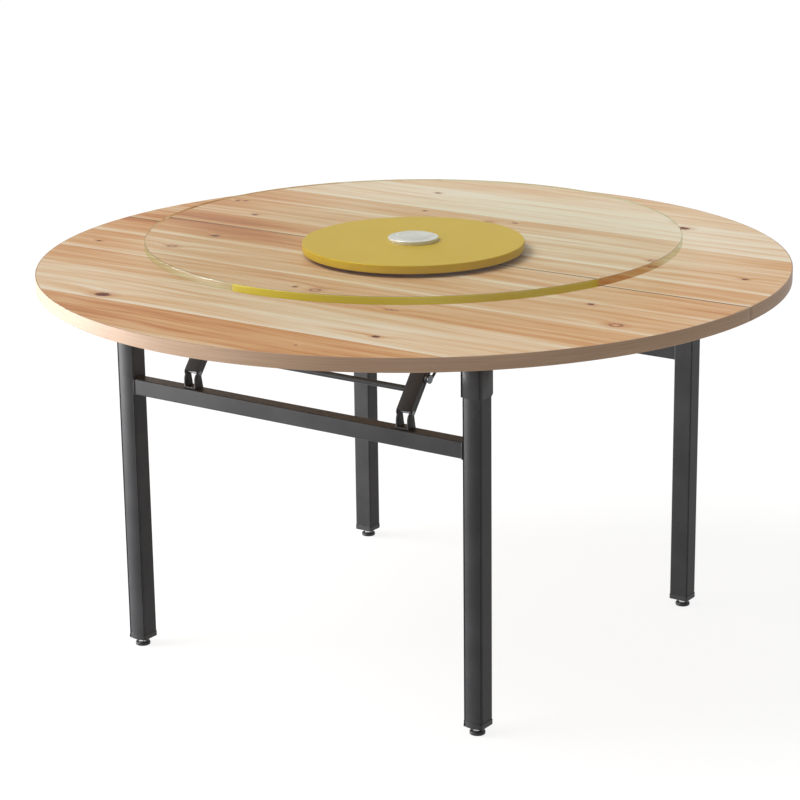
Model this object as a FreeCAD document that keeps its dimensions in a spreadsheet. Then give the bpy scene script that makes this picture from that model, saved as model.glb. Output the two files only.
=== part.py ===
import FreeCAD, Part
import math
import os
import re
import Sketcher
from FreeCAD import Placement, Rotation, Vector

# A round dining table of 1.4 m with a glass turntable on two folding leg frames.
# The floor is at zero height, the middle of the table is the origin, the front is towards -Y.
doc = FreeCAD.newDocument("dining_table")
sheet = doc.addObject("Spreadsheet::Sheet", "Sizes")
cell_count = 0
finished = []

ACROSS = Vector(1, 0, 0)
UPWARD = Vector(0, 0, 1)
QUARTER = 90
HALF_TURN = 180
FULL_TURN = 360
FRAMES = ("front", "rear")
HANDS = {"left": -1, "right": 1}


def sizes(values):
    """Writes each value into the sheet under its own name."""
    global cell_count
    for name, value in values.items():
        cell_count += 1
        sheet.set("A%d" % cell_count, name)
        sheet.set("B%d" % cell_count, repr(value))
        sheet.setAlias("B%d" % cell_count, name)
    doc.recompute()


def link(expression):
    """Points every size name in an expression at the sheet."""
    return re.sub(r"\b[a-z]+(_[a-z]+)+\b", r"Sizes.\g<0>", str(expression))


def number(expression):
    """The present value of an expression on the sheet."""
    return float(sheet.evalExpression(link(expression)))


def bind(piece, **links):
    """Ties properties of a piece to expressions on the sheet."""
    for name, expression in links.items():
        piece.setExpression(name, link(expression))


def base_at(piece, x, y, z):
    """Ties the place of a piece to expressions on the sheet."""
    for axis, expression in zip("xyz", (x, y, z)):
        piece.setExpression(".Placement.Base." + axis, link(expression))


def block(length, width, height, x="0", y="0", z="0"):
    """A block whose lowest corner is at x, y, z."""
    piece = doc.addObject("Part::Box", "block")
    bind(piece, Length=length, Width=width, Height=height)
    base_at(piece, x, y, z)
    return piece


def middle_block(length, width, height, x="0", y="0", z="0"):
    """A block centred on x and y that stands on z."""
    return block(length, width, height, f"{x} - ({length}) / 2", f"{y} - ({width}) / 2", z)


def rod(radius, length, x="0", y="0", z="0", axis=UPWARD):
    """A round bar that starts at x, y, z and runs along an axis."""
    piece = doc.addObject("Part::Cylinder", "rod")
    bind(piece, Radius=radius, Height=length)
    piece.Placement = Placement(Vector(), Rotation(UPWARD, axis))
    base_at(piece, x, y, z)
    return piece


def join(*pieces):
    """Several touching shapes made one."""
    whole = doc.addObject("Part::MultiFuse", "join")
    whole.Shapes = list(pieces)
    return whole


def group(*pieces):
    """Several separate solids kept as one group."""
    whole = doc.addObject("Part::Compound", "group")
    whole.Links = list(pieces)
    return whole


def cut(piece, *tools):
    """A shape with others taken out of it."""
    result = doc.addObject("Part::Cut", "cut")
    result.Base = piece
    result.Tool = tools[0] if len(tools) == 1 else join(*tools)
    return result


def common(piece, other):
    """What two shapes share."""
    result = doc.addObject("Part::MultiCommon", "common")
    result.Shapes = [piece, other]
    return result


def node(piece, name, frame="front", x=0.0, y=0.0, z=0.0, angle=0.0):
    """Names a finished piece and sets it down; the rear frame is the front one turned half round."""
    place = Placement(Vector(x, y, z), Rotation(ACROSS, angle))
    if frame == "rear":
        place = Placement(Vector(), Rotation(UPWARD, HALF_TURN)) * place
    piece.Placement = place
    piece.Label = name
    finished.append(piece)
    return piece


def side_name(frame, hand):
    """Left or right as seen from the front, also for a piece turned half round."""
    if frame == "front":
        return hand
    return "left" if hand == "right" else "right"


def sketch_in(body, role, name):
    """An empty sketch on one of the body's own planes."""
    sketch = body.newObject("Sketcher::SketchObject", name)
    plane = [item for item in body.Origin.OriginFeatures if item.Role == role][0]
    sketch.AttachmentSupport = [(plane, "")]
    sketch.MapMode = "FlatFace"
    return sketch


def outline(sketch, corners, bows=None):
    """A closed outline through corners; bows gives the radius of the sides that are arcs.

    A bowed side bulges to the right of the way the outline runs, or to the left if it is marked so.
    """
    bows = bows or {}
    points = [Vector(number(x), number(y), 0) for x, y in corners]
    sides = []
    for index, start in enumerate(points):
        end = points[(index + 1) % len(points)]
        if index not in bows:
            sides.append((sketch.addGeometry(Part.LineSegment(start, end), False), 1, 2))
            continue
        radius = number(bows[index][0])
        along = end - start
        left = Vector(-along.y, along.x, 0).normalize()
        rise = math.sqrt(radius ** 2 - (along.Length / 2) ** 2)
        turns_left = bows[index][1] == "right"
        centre = (start + end) * 0.5 + left * (rise if turns_left else -rise)
        first, last = (start, end) if turns_left else (end, start)
        begin = math.atan2(first.y - centre.y, first.x - centre.x)
        stop = math.atan2(last.y - centre.y, last.x - centre.x)
        arc = Part.ArcOfCircle(Part.Circle(centre, UPWARD, radius), begin, stop)
        geometry = sketch.addGeometry(arc, False)
        sides.append((geometry, 1, 2) if turns_left else (geometry, 2, 1))
    for index, (side, _, end) in enumerate(sides):
        following, start, _ = sides[(index + 1) % len(sides)]
        sketch.addConstraint(Sketcher.Constraint("Coincident", side, end, following, start))
    for index, (x, y) in enumerate(corners):
        side, start, _ = sides[index]
        for kind, expression in (("DistanceX", x), ("DistanceY", y)):
            value = number(expression)
            row = sketch.addConstraint(Sketcher.Constraint(kind, -1, 1, side, start, value))
            sketch.setExpression(f"Constraints[{row}]", link(expression))
        if index in bows:
            row = sketch.addConstraint(Sketcher.Constraint("Radius", side, number(bows[index][0])))
            sketch.setExpression(f"Constraints[{row}]", link(bows[index][0]))


def turned(profile, name="turned"):
    """A body turned about the upright axis from corners given as radius and height."""
    body = doc.addObject("PartDesign::Body", name)
    sketch = sketch_in(body, "XZ_Plane", name + "_profile")
    outline(sketch, profile)
    revolution = body.newObject("PartDesign::Revolution", name + "_revolution")
    revolution.Profile = sketch
    revolution.ReferenceAxis = (sketch, ["V_Axis"])
    revolution.Angle = FULL_TURN
    sketch.Visibility = False
    return body


def raised(height, *outlines, name="raised"):
    """A body raised from outlines on the floor plane."""
    body = doc.addObject("PartDesign::Body", name)
    sketch = sketch_in(body, "XY_Plane", name + "_profile")
    for corners, bows in outlines:
        outline(sketch, corners, bows)
    pad = body.newObject("PartDesign::Pad", name + "_pad")
    pad.Profile = sketch
    bind(pad, Length=height)
    sketch.Visibility = False
    return body


# Clearances that several pieces share.
CLEARANCES = {
    "running_gap": 0.1, "fixed_gap": 0.05, "cut_overrun": 1.0,
}
sizes(CLEARANCES)

# The top: two half boards of solid wood with a thin edge band, the seam along X.
TOP_SIZES = {
    "top_radius": 700.0, "top_height": 730.0, "top_thickness": 25.0,
    "band_thickness": 2.0, "seam_gap": 1.2,
    "side_rail_width": 64.0, "side_rail_length": 860.0, "side_rail_thickness": 2.0,
    "cross_rail_width": 40.0, "cross_rail_thickness": 3.0, "rail_end_gap": 1.0,
    "seam_plate_length": 120.0, "seam_plate_width": 64.0, "seam_plate_spacing": 200.0,
}
sizes(TOP_SIZES)

# The legs: bowed steel tube with a plastic cap and a screwed glide at the foot.
LEG_SIZES = {
    "leg_spread": 382.0, "leg_reach": 372.0, "leg_width": 38.0,
    "leg_depth": 38.0, "leg_bow": 5.0, "leg_wall": 1.5,
    "cap_underside": 15.0, "cap_floor": 2.0, "cap_skirt": 8.0, "cap_proud": 0.8,
    "cap_boss_radius": 9.0, "cap_boss_length": 20.0,
    "pad_radius": 14.0, "pad_height": 6.0, "pad_rounding": 1.5, "pad_socket_depth": 3.5,
    "stem_radius": 4.0, "stem_length": 32.0, "collar_radius": 8.0,
    "collar_rounding": 0.8, "seat_gap": 0.1,
    "crossbar_side": 30.0, "crossbar_bottom": 503.0, "crossbar_wall": 1.5,
}
sizes(LEG_SIZES)

# The hinges: a block in the leg's head turns on a bolt through a bowed housing under the top.
HINGE_SIZES = {
    "front_pivot_height": 681.0, "rear_pivot_height": 640.0, "tube_drop": 14.0,
    "bolt_radius": 4.0, "bolt_head_radius": 6.5, "bolt_head_height": 5.0, "bolt_nut_height": 6.5,
    "block_radius": 12.0, "block_plug_length": 25.0,
    "housing_gap": 0.4, "housing_wall": 2.0, "housing_bottom": 613.0,
    "housing_plate_width": 60.0, "housing_plate_depth": 54.0, "housing_chamfer": 4.0,
}
sizes(HINGE_SIZES)

# The braces: a channel on a lug of the crossbar and a slotted flat bar under the top.
BRACE_SIZES = {
    "brace_spread": 235.0, "brace_lean": 38.2, "lower_arm_run": 65.5, "lower_arm_tail": 18.5,
    "lug_pin_inset": 3.0, "lug_pin_height": 562.0,
    "bracket_pin_inset": 132.0, "bracket_pin_height": 686.0,
    "channel_width": 30.0, "channel_wall": 1.5, "channel_half_depth": 7.5,
    "web_thickness": 1.6, "web_start": 1.0,
    "lug_thickness": 3.0, "lug_gap": 0.3, "lug_head_radius": 5.5, "lug_base_thickness": 3.0,
    "lug_front": 12.0, "lug_front_shoulder": 11.0, "lug_shoulder_drop": 10.0, "lug_back": 11.0,
    "lug_neck": 8.2, "lug_neck_drop": 3.5, "lug_notch": 5.1, "lug_notch_drop": 2.2,
    "pin_radius": 2.5, "pin_head_radius": 4.5, "pin_head_height": 1.7,
    "pull_rod_radius": 5.5, "pull_rod_run": 41.4,
    "flat_bar_thickness": 4.0, "flat_bar_width": 18.0, "flat_bar_offset": 18.5,
    "slot_width": 11.0, "slot_travel": 33.4, "slot_rest": 2.8,
    "knee_collar_radius": 7.0, "knee_head_radius": 8.0, "knee_head_height": 2.0, "knee_gap": 0.2,
    "bracket_lug_thickness": 2.5, "bracket_lug_radius": 8.0, "bracket_gap": 0.3,
    "bracket_plate_length": 40.0, "bracket_plate_width": 34.0, "bracket_plate_thickness": 3.0,
}
sizes(BRACE_SIZES)

# The turntable: a rubber-footed base, a ball race, a lacquered disc, a hub, a clear pad and a glass plate.
TURNTABLE_SIZES = {
    "foot_ring_radius": 108.0, "foot_radius": 9.0, "foot_height": 2.5,
    "base_radius": 125.0, "base_thickness": 2.0,
    "race_radius": 80.0, "race_width": 20.0, "race_height": 4.0,
    "ball_radius": 3.0, "race_spacing": 2.0,
    "spigot_radius": 6.0, "spigot_height": 14.0, "recess_gap": 6.0,
    "disc_radius": 207.0, "disc_underside": 7.5, "disc_thickness": 15.5, "disc_chamfer": 1.0,
    "hub_radius": 47.0, "hub_height": 7.4, "hub_dish_radius": 42.0,
    "hub_dish_run": 2.0, "hub_dish_depth": 0.8,
    "hub_chamfer": 0.8, "glass_lift": 5.6, "glass_pad_radius": 30.0,
    "glass_radius": 498.0, "glass_thickness": 14.0, "glass_chamfer": 1.0,
}
sizes(TURNTABLE_SIZES)

# The screws that hold the rails, housings and brackets to the top.
SCREW_SIZES = {
    "screw_radius": 2.0, "screw_head_radius": 4.0, "screw_head_height": 2.0, "screw_length": 16.0,
    "screw_side_inset": 6.0, "rail_screw_far": 415.0,
    "rail_screw_middle": 270.0, "rail_screw_near": 50.0,
    "cross_screw_far": 310.0, "cross_screw_near": 90.0, "housing_screw_inset": 4.3,
    "bracket_screw_inset": 6.0, "plate_screw_inset": 10.0,
}
sizes(SCREW_SIZES)

UNDERSIDE = "(top_height - top_thickness)"
RAIL_FACE = f"({UNDERSIDE} - side_rail_thickness)"
CROSS_FACE = f"({UNDERSIDE} - cross_rail_thickness)"
PLATE_FACE = f"({RAIL_FACE} - housing_wall)"
BRACKET_FACE = f"({CROSS_FACE} - bracket_plate_thickness)"


def screw_places():
    """Where each screw goes in x and y, and the face that its head is drawn up against."""
    places = []
    for side in (-1, 1):
        for column in (-1, 1):
            x = f"{side} * leg_spread + {column} * (side_rail_width / 2 - screw_side_inset)"
            for row in ("rail_screw_far", "rail_screw_middle", "rail_screw_near"):
                places += [(x, f"{end} * {row}", RAIL_FACE) for end in (-1, 1)]
            x = f"{side} * leg_spread + {column} * (housing_plate_width / 2 - housing_screw_inset)"
            for end in (-1, 1):
                outer = "leg_depth / 2 + housing_gap + housing_wall"
                near = f"{end} * (leg_reach + {outer} - housing_screw_inset)"
                far = f"{end} * (leg_reach + {outer} - housing_plate_depth + housing_screw_inset)"
                places += [(x, near, PLATE_FACE), (x, far, PLATE_FACE)]
    for end in (-1, 1):
        y = f"{end} * (leg_reach - bracket_pin_inset)"
        for side in (-1, 1):
            for row in ("cross_screw_far", "cross_screw_near"):
                places.append((f"{side} * {row}", y, CROSS_FACE))
            for reach in (-1, 1):
                middle = "brace_spread + flat_bar_offset + flat_bar_thickness / 2"
                x = f"{side} * ({middle} + {reach} * (bracket_plate_length / 2 - bracket_screw_inset))"
                places.append((x, y, BRACKET_FACE))
    for plate in (-1, 0, 1):
        for column in (-1, 1):
            x = f"{plate} * seam_plate_spacing + {column} * (seam_plate_length / 2 - plate_screw_inset)"
            for end in (-1, 1):
                places.append((x, f"{end} * (seam_plate_width / 2 - plate_screw_inset)", RAIL_FACE))
    return places


def screws():
    """Pan-head wood screws; each stands in a hole that is a shade wider than its shank."""
    made = []
    for x, y, face in screw_places():
        head = rod("screw_head_radius", "screw_head_height", x, y, f"{face} - screw_head_height")
        shank = rod("screw_radius", f"{UNDERSIDE} - {face} + screw_length", x, y, face)
        made.append(join(head, shank))
    node(group(*made), "fixing_screws")


def screw_holes(bottom, height, wanted):
    """The holes for the screws that stand where wanted says, from bottom upwards."""
    holes = []
    for x, y, face in screw_places():
        if wanted(number(x), number(y), face):
            holes.append(rod("screw_radius + fixed_gap", height, x, y, bottom))
    return group(*holes)


def top_boards():
    """Two half discs of board, each with a thin band round its curved edge."""
    for frame, sign in (("front", -1), ("rear", 1)):
        def half(radius):
            disc = rod(radius, "top_thickness", z=UNDERSIDE)
            corner = "-top_radius" if sign < 0 else "0"
            start = "-top_radius - seam_gap / 2" if sign < 0 else "seam_gap / 2"
            slab = block("2 * top_radius", "top_radius", "top_thickness", "-top_radius", start, UNDERSIDE)
            return common(disc, slab)
        board = half("top_radius - band_thickness")
        holes = screw_holes(UNDERSIDE, "screw_length + fixed_gap", lambda x, y, face: y * sign > 0)
        node(cut(board, holes), f"top_board_{frame}")
        inner = rod("top_radius - band_thickness", "top_thickness", z=UNDERSIDE)
        node(cut(half("top_radius"), inner), f"edge_band_{frame}")


def rails():
    """Flat steel under the top: two along Y over the legs, two along X over the braces."""
    for hand, side in HANDS.items():
        rail = middle_block("side_rail_width", "side_rail_length", "side_rail_thickness",
                            f"{side} * leg_spread", "0", RAIL_FACE)
        holes = screw_holes(RAIL_FACE, "side_rail_thickness",
                            lambda x, y, face: x * side > number("leg_spread - side_rail_width / 2"))
        node(cut(rail, holes), f"side_rail_{hand}")
    for frame, end in (("front", -1), ("rear", 1)):
        y = f"{end} * (leg_reach - bracket_pin_inset)"
        length = "2 * leg_spread - side_rail_width - 2 * rail_end_gap"
        rail = middle_block(length, "cross_rail_width", "cross_rail_thickness", "0", y, CROSS_FACE)
        reach = number("leg_spread - side_rail_width / 2")
        row = number(y)
        holes = screw_holes(CROSS_FACE, "cross_rail_thickness",
                            lambda x, y, face: abs(x) < reach and abs(y - row) < number("screw_radius"))
        node(cut(rail, holes), f"cross_rail_{frame}")
    plates = [middle_block("seam_plate_length", "seam_plate_width", "side_rail_thickness",
                           f"{plate} * seam_plate_spacing", "0", RAIL_FACE) for plate in (-1, 0, 1)]
    near = number("seam_plate_width / 2")
    reach = number("leg_spread - side_rail_width / 2")
    holes = screw_holes(RAIL_FACE, "side_rail_thickness",
                        lambda x, y, face: abs(x) < reach and abs(y) < near)
    node(cut(group(*plates), holes), "seam_plates")


def bowed(half_width, half_depth, inner=False):
    """The corners of a loaf-shaped section whose bowed side looks outwards, to -Y."""
    corners = [(f"-({half_width})", half_depth), (f"-({half_width})", f"leg_bow - ({half_depth})"),
               (half_width, f"leg_bow - ({half_depth})"), (half_width, half_depth)]
    radius = f"(({half_width}) * ({half_width}) + leg_bow * leg_bow) / (2 * leg_bow)"
    return corners, {1: (radius, "right")}


def legs():
    """Four bowed tubes, closed at the foot by a cap that holds the threaded insert."""
    for frame in FRAMES:
        caps = []
        for hand, side in HANDS.items():
            tube_bottom = "cap_underside + cap_floor"
            height = f"{frame}_pivot_height - tube_drop - ({tube_bottom})"
            tube = raised(height, bowed("leg_width / 2", "leg_depth / 2"),
                          bowed("leg_width / 2 - leg_wall", "leg_depth / 2 - leg_wall"))
            node(tube, f"{frame}_leg_{side_name(frame, hand)}", frame,
                 number(f"{side} * leg_spread"), number("-leg_reach"), number(tube_bottom))
            skirt = raised("cap_floor + cap_skirt",
                           bowed("leg_width / 2 + cap_proud", "leg_depth / 2 + cap_proud"))
            hollow = raised("cap_skirt + cut_overrun",
                            bowed("leg_width / 2 + fixed_gap", "leg_depth / 2 + fixed_gap"))
            hollow.Placement.Base.z = number("cap_floor")
            boss = rod("cap_boss_radius", "cap_boss_length", z="cap_floor")
            bore = rod("stem_radius + running_gap", "cap_floor + cap_boss_length + 2 * cut_overrun",
                       z="-cut_overrun")
            cap = cut(join(cut(skirt, hollow), boss), bore)
            cap.Placement.Base = Vector(number(f"{side} * leg_spread"), number("-leg_reach"),
                                        number("cap_underside"))
            caps.append(cap)
        node(group(*caps), f"{frame}_leg_caps", frame)


def glides():
    """Four screwed glides: a plastic pad on a steel stem with a round collar."""
    for frame in FRAMES:
        for hand, side in HANDS.items():
            name = f"{frame}_{side_name(frame, hand)}"
            pad = turned([("0", "0"), ("pad_radius - pad_rounding", "0"), ("pad_radius", "pad_rounding"),
                          ("pad_radius", "pad_height - pad_rounding"),
                          ("pad_radius - pad_rounding", "pad_height"),
                          ("stem_radius + fixed_gap", "pad_height"),
                          ("stem_radius + fixed_gap", "pad_height - pad_socket_depth"),
                          ("0", "pad_height - pad_socket_depth")])
            bottom = "pad_height - pad_socket_depth + fixed_gap"
            collar_top = "cap_underside - seat_gap"
            stem = turned([("0", bottom), ("stem_radius", bottom),
                           ("stem_radius", "pad_height + fixed_gap"),
                           ("collar_radius - collar_rounding", "pad_height + fixed_gap"),
                           ("collar_radius", "pad_height + fixed_gap + collar_rounding"),
                           ("collar_radius", f"{collar_top} - collar_rounding"),
                           ("collar_radius - collar_rounding", collar_top), ("stem_radius", collar_top),
                           ("stem_radius", f"{bottom} + stem_length"), ("0", f"{bottom} + stem_length")])
            x, y = number(f"{side} * leg_spread"), number("-leg_reach")
            node(pad, f"glide_pad_{name}", frame, x, y)
            node(stem, f"glide_screw_{name}", frame, x, y)


def crossbars():
    """A square tube between the two legs of each frame, welded to their inner faces."""
    for frame in FRAMES:
        length = "2 * leg_spread - leg_width"
        bar = middle_block(length, "crossbar_side", "crossbar_side", "0", "-leg_reach", "crossbar_bottom")
        inside = "crossbar_side - 2 * crossbar_wall"
        hollow = middle_block(f"{length} + 2 * cut_overrun", inside, inside, "0", "-leg_reach",
                              "crossbar_bottom + crossbar_wall")
        node(cut(bar, hollow), f"{frame}_crossbar", frame)


def hinges():
    """The block in each leg's head, the housing round it and the bolt through both."""
    bolts = []
    for frame in FRAMES:
        pivot = f"{frame}_pivot_height"
        blocks = []
        for hand, side in HANDS.items():
            x = f"{side} * leg_spread"
            left = f"{x} - leg_width / 2"
            head = rod("block_radius", "leg_width", left, "-leg_reach", pivot, ACROSS)
            neck = middle_block("leg_width", "2 * block_radius", "tube_drop", x, "-leg_reach",
                                f"{pivot} - tube_drop")
            plug = middle_block("leg_width - 2 * leg_wall - 2 * fixed_gap", "2 * block_radius",
                                "block_plug_length", x, "-leg_reach",
                                f"{pivot} - tube_drop - block_plug_length")
            bore = rod("bolt_radius + running_gap", "leg_width + 2 * cut_overrun", f"{left} - cut_overrun",
                       "-leg_reach", pivot, ACROSS)
            blocks.append(cut(join(head, neck, plug), bore))

            gap = "housing_gap"
            inner = bowed(f"leg_width / 2 + {gap}", f"leg_depth / 2 + {gap}")
            outer = bowed(f"leg_width / 2 + {gap} + housing_wall", f"leg_depth / 2 + {gap} + housing_wall")
            height = f"{RAIL_FACE} - housing_bottom"
            shell = raised(height, outer)
            hollow = raised(f"{height} - housing_wall", inner)
            inner_side = "leg_width + 2 * housing_gap"
            mouth = block(inner_side, "leg_depth", f"{height} - housing_wall", f"-({inner_side}) / 2", "0")
            outer_reach = "leg_depth / 2 + housing_gap + housing_wall"
            tail = block("leg_width + 2 * housing_gap + 2 * housing_wall", "housing_gap + housing_wall",
                         f"{height} - housing_wall", f"-({inner_side}) / 2 - housing_wall", "leg_depth / 2")
            plate = block("housing_plate_width", "housing_plate_depth", "housing_wall",
                          "-housing_plate_width / 2", f"-({outer_reach})", f"{height} - housing_wall")
            slope = block("2 * leg_width", "2 * housing_chamfer", "2 * housing_chamfer")
            corner = Vector(-number("leg_width"), number("leg_depth / 2 - housing_chamfer"), 0)
            slope.Placement = Placement(corner, Rotation(ACROSS, -QUARTER / 2))
            pin_hole = rod("bolt_radius + fixed_gap", "housing_plate_width",
                           "-housing_plate_width / 2", "0", f"{pivot} - housing_bottom", ACROSS)
            housing = cut(join(cut(shell, hollow, mouth, tail), plate), pin_hole, slope)
            housing.Placement.Base = Vector(number(x), number("-leg_reach"), number("housing_bottom"))
            holes = screw_holes("housing_bottom", height,
                                lambda sx, sy, face: face == PLATE_FACE and sy < 0 and sx * side > 0)
            node(cut(housing, holes), f"housing_{frame}_{side_name(frame, hand)}", frame)

            half = "leg_width / 2 + housing_gap + housing_wall"
            shank = rod("bolt_radius", f"2 * ({half}) + bolt_nut_height", f"{x} - ({half})",
                        "-leg_reach", pivot, ACROSS)
            cap_head = rod("bolt_head_radius", "bolt_head_height", f"{x} - ({half}) - bolt_head_height",
                           "-leg_reach", pivot, ACROSS)
            nut = rod("bolt_head_radius", "bolt_nut_height - fixed_gap", f"{x} + ({half}) + fixed_gap",
                      "-leg_reach", pivot, ACROSS)
            bolt = join(shank, cap_head, nut)
            if frame == "rear":
                bolt.Placement = Placement(Vector(), Rotation(UPWARD, HALF_TURN))
            bolts.append(bolt)
        node(group(*blocks), f"{frame}_hinge_blocks", frame)
    node(group(*bolts), "hinge_bolts")


def lugs():
    """On each crossbar two U-shaped lugs with a pin that the lower arm turns on."""
    top = "crossbar_bottom + crossbar_side"
    half = "channel_width / 2 - channel_wall - lug_gap"
    for frame in FRAMES:
        brackets, pins = [], []
        for hand, side in HANDS.items():
            cheeks = []
            for edge in (-1, 1):
                body = doc.addObject("PartDesign::Body", "lug")
                sketch = sketch_in(body, "YZ_Plane", "lug_outline")
                outline(sketch, [("lug_back", f"{top} - lug_pin_height"),
                                 ("lug_head_radius", "0"), ("0", "0"),
                                 ("-lug_notch", "-lug_notch_drop"), ("-lug_neck", "-lug_neck_drop"),
                                 ("-lug_front_shoulder", "-lug_shoulder_drop"),
                                 ("-lug_front", f"{top} - lug_pin_height")])
                pad = body.newObject("PartDesign::Pad", "lug_pad")
                pad.Profile = sketch
                bind(pad, Length="lug_thickness")
                start = f"({half} - lug_thickness)" if edge > 0 else f"-({half})"
                base_at(body, start, "0", "0")
                head = rod("lug_head_radius", "lug_thickness", start, "0", "0", ACROSS)
                cheeks += [body, head]
            base = block(f"2 * ({half})", "lug_front + lug_back", "lug_base_thickness", f"-({half})",
                         "-lug_front", f"{top} - lug_pin_height")
            hole = rod("pin_radius + fixed_gap", "channel_width", "-channel_width / 2", "0", "0", ACROSS)
            bracket = cut(join(base, *cheeks), hole)
            middle = Vector(number(f"{side} * brace_spread"), number("lug_pin_inset - leg_reach"),
                            number("lug_pin_height"))
            bracket.Placement.Base = middle
            brackets.append(bracket)

            reach = "channel_width / 2 + running_gap"
            shank = rod("pin_radius", f"2 * ({reach})", f"-({reach})", axis=ACROSS)
            heads = [rod("pin_head_radius", "pin_head_height", start, axis=ACROSS)
                     for start in (reach, f"-({reach}) - pin_head_height")]
            pin = join(shank, *heads)
            pin.Placement.Base = middle
            pins.append(pin)
        node(group(*brackets), f"{frame}_brace_lugs", frame)
        node(group(*pins), f"{frame}_lug_pins", frame)


def lower_arms():
    """Pressed channels from the lugs to the knees, their web outboard and up, tied by the pull rod."""
    for frame in FRAMES:
        pins = []
        middle = [number(value) for value in ("lug_pin_inset - leg_reach", "lug_pin_height")]
        upright = number(f"{QUARTER} - brace_lean")
        for hand, side in HANDS.items():
            length = "lower_arm_run + lower_arm_tail"
            solid = block("channel_width", length, "2 * channel_half_depth", "-channel_width / 2", "0",
                          "-channel_half_depth")
            ear = rod("channel_half_depth", "channel_width", "-channel_width / 2", axis=ACROSS)
            inside = "channel_width - 2 * channel_wall"
            trough = block(inside, f"{length} + channel_half_depth + 2 * cut_overrun",
                           "2 * channel_half_depth - web_thickness + cut_overrun", f"-({inside}) / 2",
                           "-channel_half_depth - cut_overrun", "-channel_half_depth - cut_overrun")
            mouth = block(inside, "channel_half_depth + cut_overrun - web_start",
                          "2 * channel_half_depth + 2 * cut_overrun", f"-({inside}) / 2",
                          "-channel_half_depth - cut_overrun", "-channel_half_depth - cut_overrun")
            lug_hole = rod("pin_radius + running_gap", "channel_width + 2 * cut_overrun",
                           "-channel_width / 2 - cut_overrun", axis=ACROSS)
            knee_hole = rod("pin_radius + fixed_gap", "channel_width + 2 * cut_overrun",
                            "-channel_width / 2 - cut_overrun", "lower_arm_run", axis=ACROSS)
            arm = cut(join(solid, ear), trough, mouth, lug_hole, knee_hole)
            node(arm, f"{frame}_lower_arm_{side_name(frame, hand)}", frame,
                 number(f"{side} * brace_spread"), *middle, upright)

            spans = [("pin_head_radius", "-channel_width / 2 - pin_head_height",
                      "-channel_width / 2 - fixed_gap"),
                     ("pin_radius", "-channel_width / 2 - fixed_gap",
                      "flat_bar_offset + flat_bar_thickness + knee_gap"),
                     ("knee_collar_radius", "channel_width / 2 + fixed_gap", "flat_bar_offset - knee_gap"),
                     ("knee_head_radius", "flat_bar_offset + flat_bar_thickness + knee_gap",
                      "flat_bar_offset + flat_bar_thickness + knee_gap + knee_head_height")]
            steps = []
            for radius, start, end in spans:
                first = start if side > 0 else f"-({end})"
                steps.append(rod(radius, f"({end}) - ({start})", first, "lower_arm_run", axis=ACROSS))
            pin = join(*steps)
            pin.Placement = Placement(Vector(number(f"{side} * brace_spread"), *middle),
                                      Rotation(ACROSS, upright))
            pins.append(pin)
        node(group(*pins), f"{frame}_knee_pins", frame)
        span = "brace_spread - channel_width / 2"
        tie = rod("pull_rod_radius", f"2 * ({span})", f"-({span})", "pull_rod_run", axis=ACROSS)
        holder = group(tie)
        node(holder, f"{frame}_pull_rod", frame, 0.0, *middle, upright)


def upper_arms():
    """Slotted flat bars between the knee pins and the brackets under the top."""
    fall = number("bracket_pin_height - lug_pin_height")
    run = number("bracket_pin_inset - lug_pin_inset")
    lean = math.radians(number("brace_lean"))
    knee_run = number("lower_arm_run")
    back = run - knee_run * math.sin(lean)
    down = fall - knee_run * math.cos(lean)
    sizes({"upper_arm_run": math.hypot(back, down)})
    pitch = HALF_TURN + math.degrees(math.atan2(down, back))
    for frame in FRAMES:
        for hand, side in HANDS.items():
            start = "flat_bar_offset" if side > 0 else "-flat_bar_offset - flat_bar_thickness"
            far = "upper_arm_run - slot_rest"
            half = "flat_bar_width / 2"
            strip = block("flat_bar_thickness", far, "flat_bar_width", start, "0", f"-({half})")
            ends = [rod(half, "flat_bar_thickness", start, y, axis=ACROSS) for y in ("0", far)]
            first, depth = f"{start} - cut_overrun", "flat_bar_thickness + 2 * cut_overrun"
            slot = block(depth, "slot_travel", "slot_width", first, f"{far} - slot_travel",
                         "-slot_width / 2")
            slot_ends = [rod("slot_width / 2", depth, first, y, axis=ACROSS)
                         for y in (f"{far} - slot_travel", far)]
            hole = rod("pin_radius + running_gap", depth, first, axis=ACROSS)
            bar = cut(join(strip, *ends), slot, *slot_ends, hole)
            node(bar, f"{frame}_upper_arm_{side_name(frame, hand)}", frame,
                 number(f"{side} * brace_spread"), number("bracket_pin_inset - leg_reach"),
                 number("bracket_pin_height"), pitch)


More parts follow.
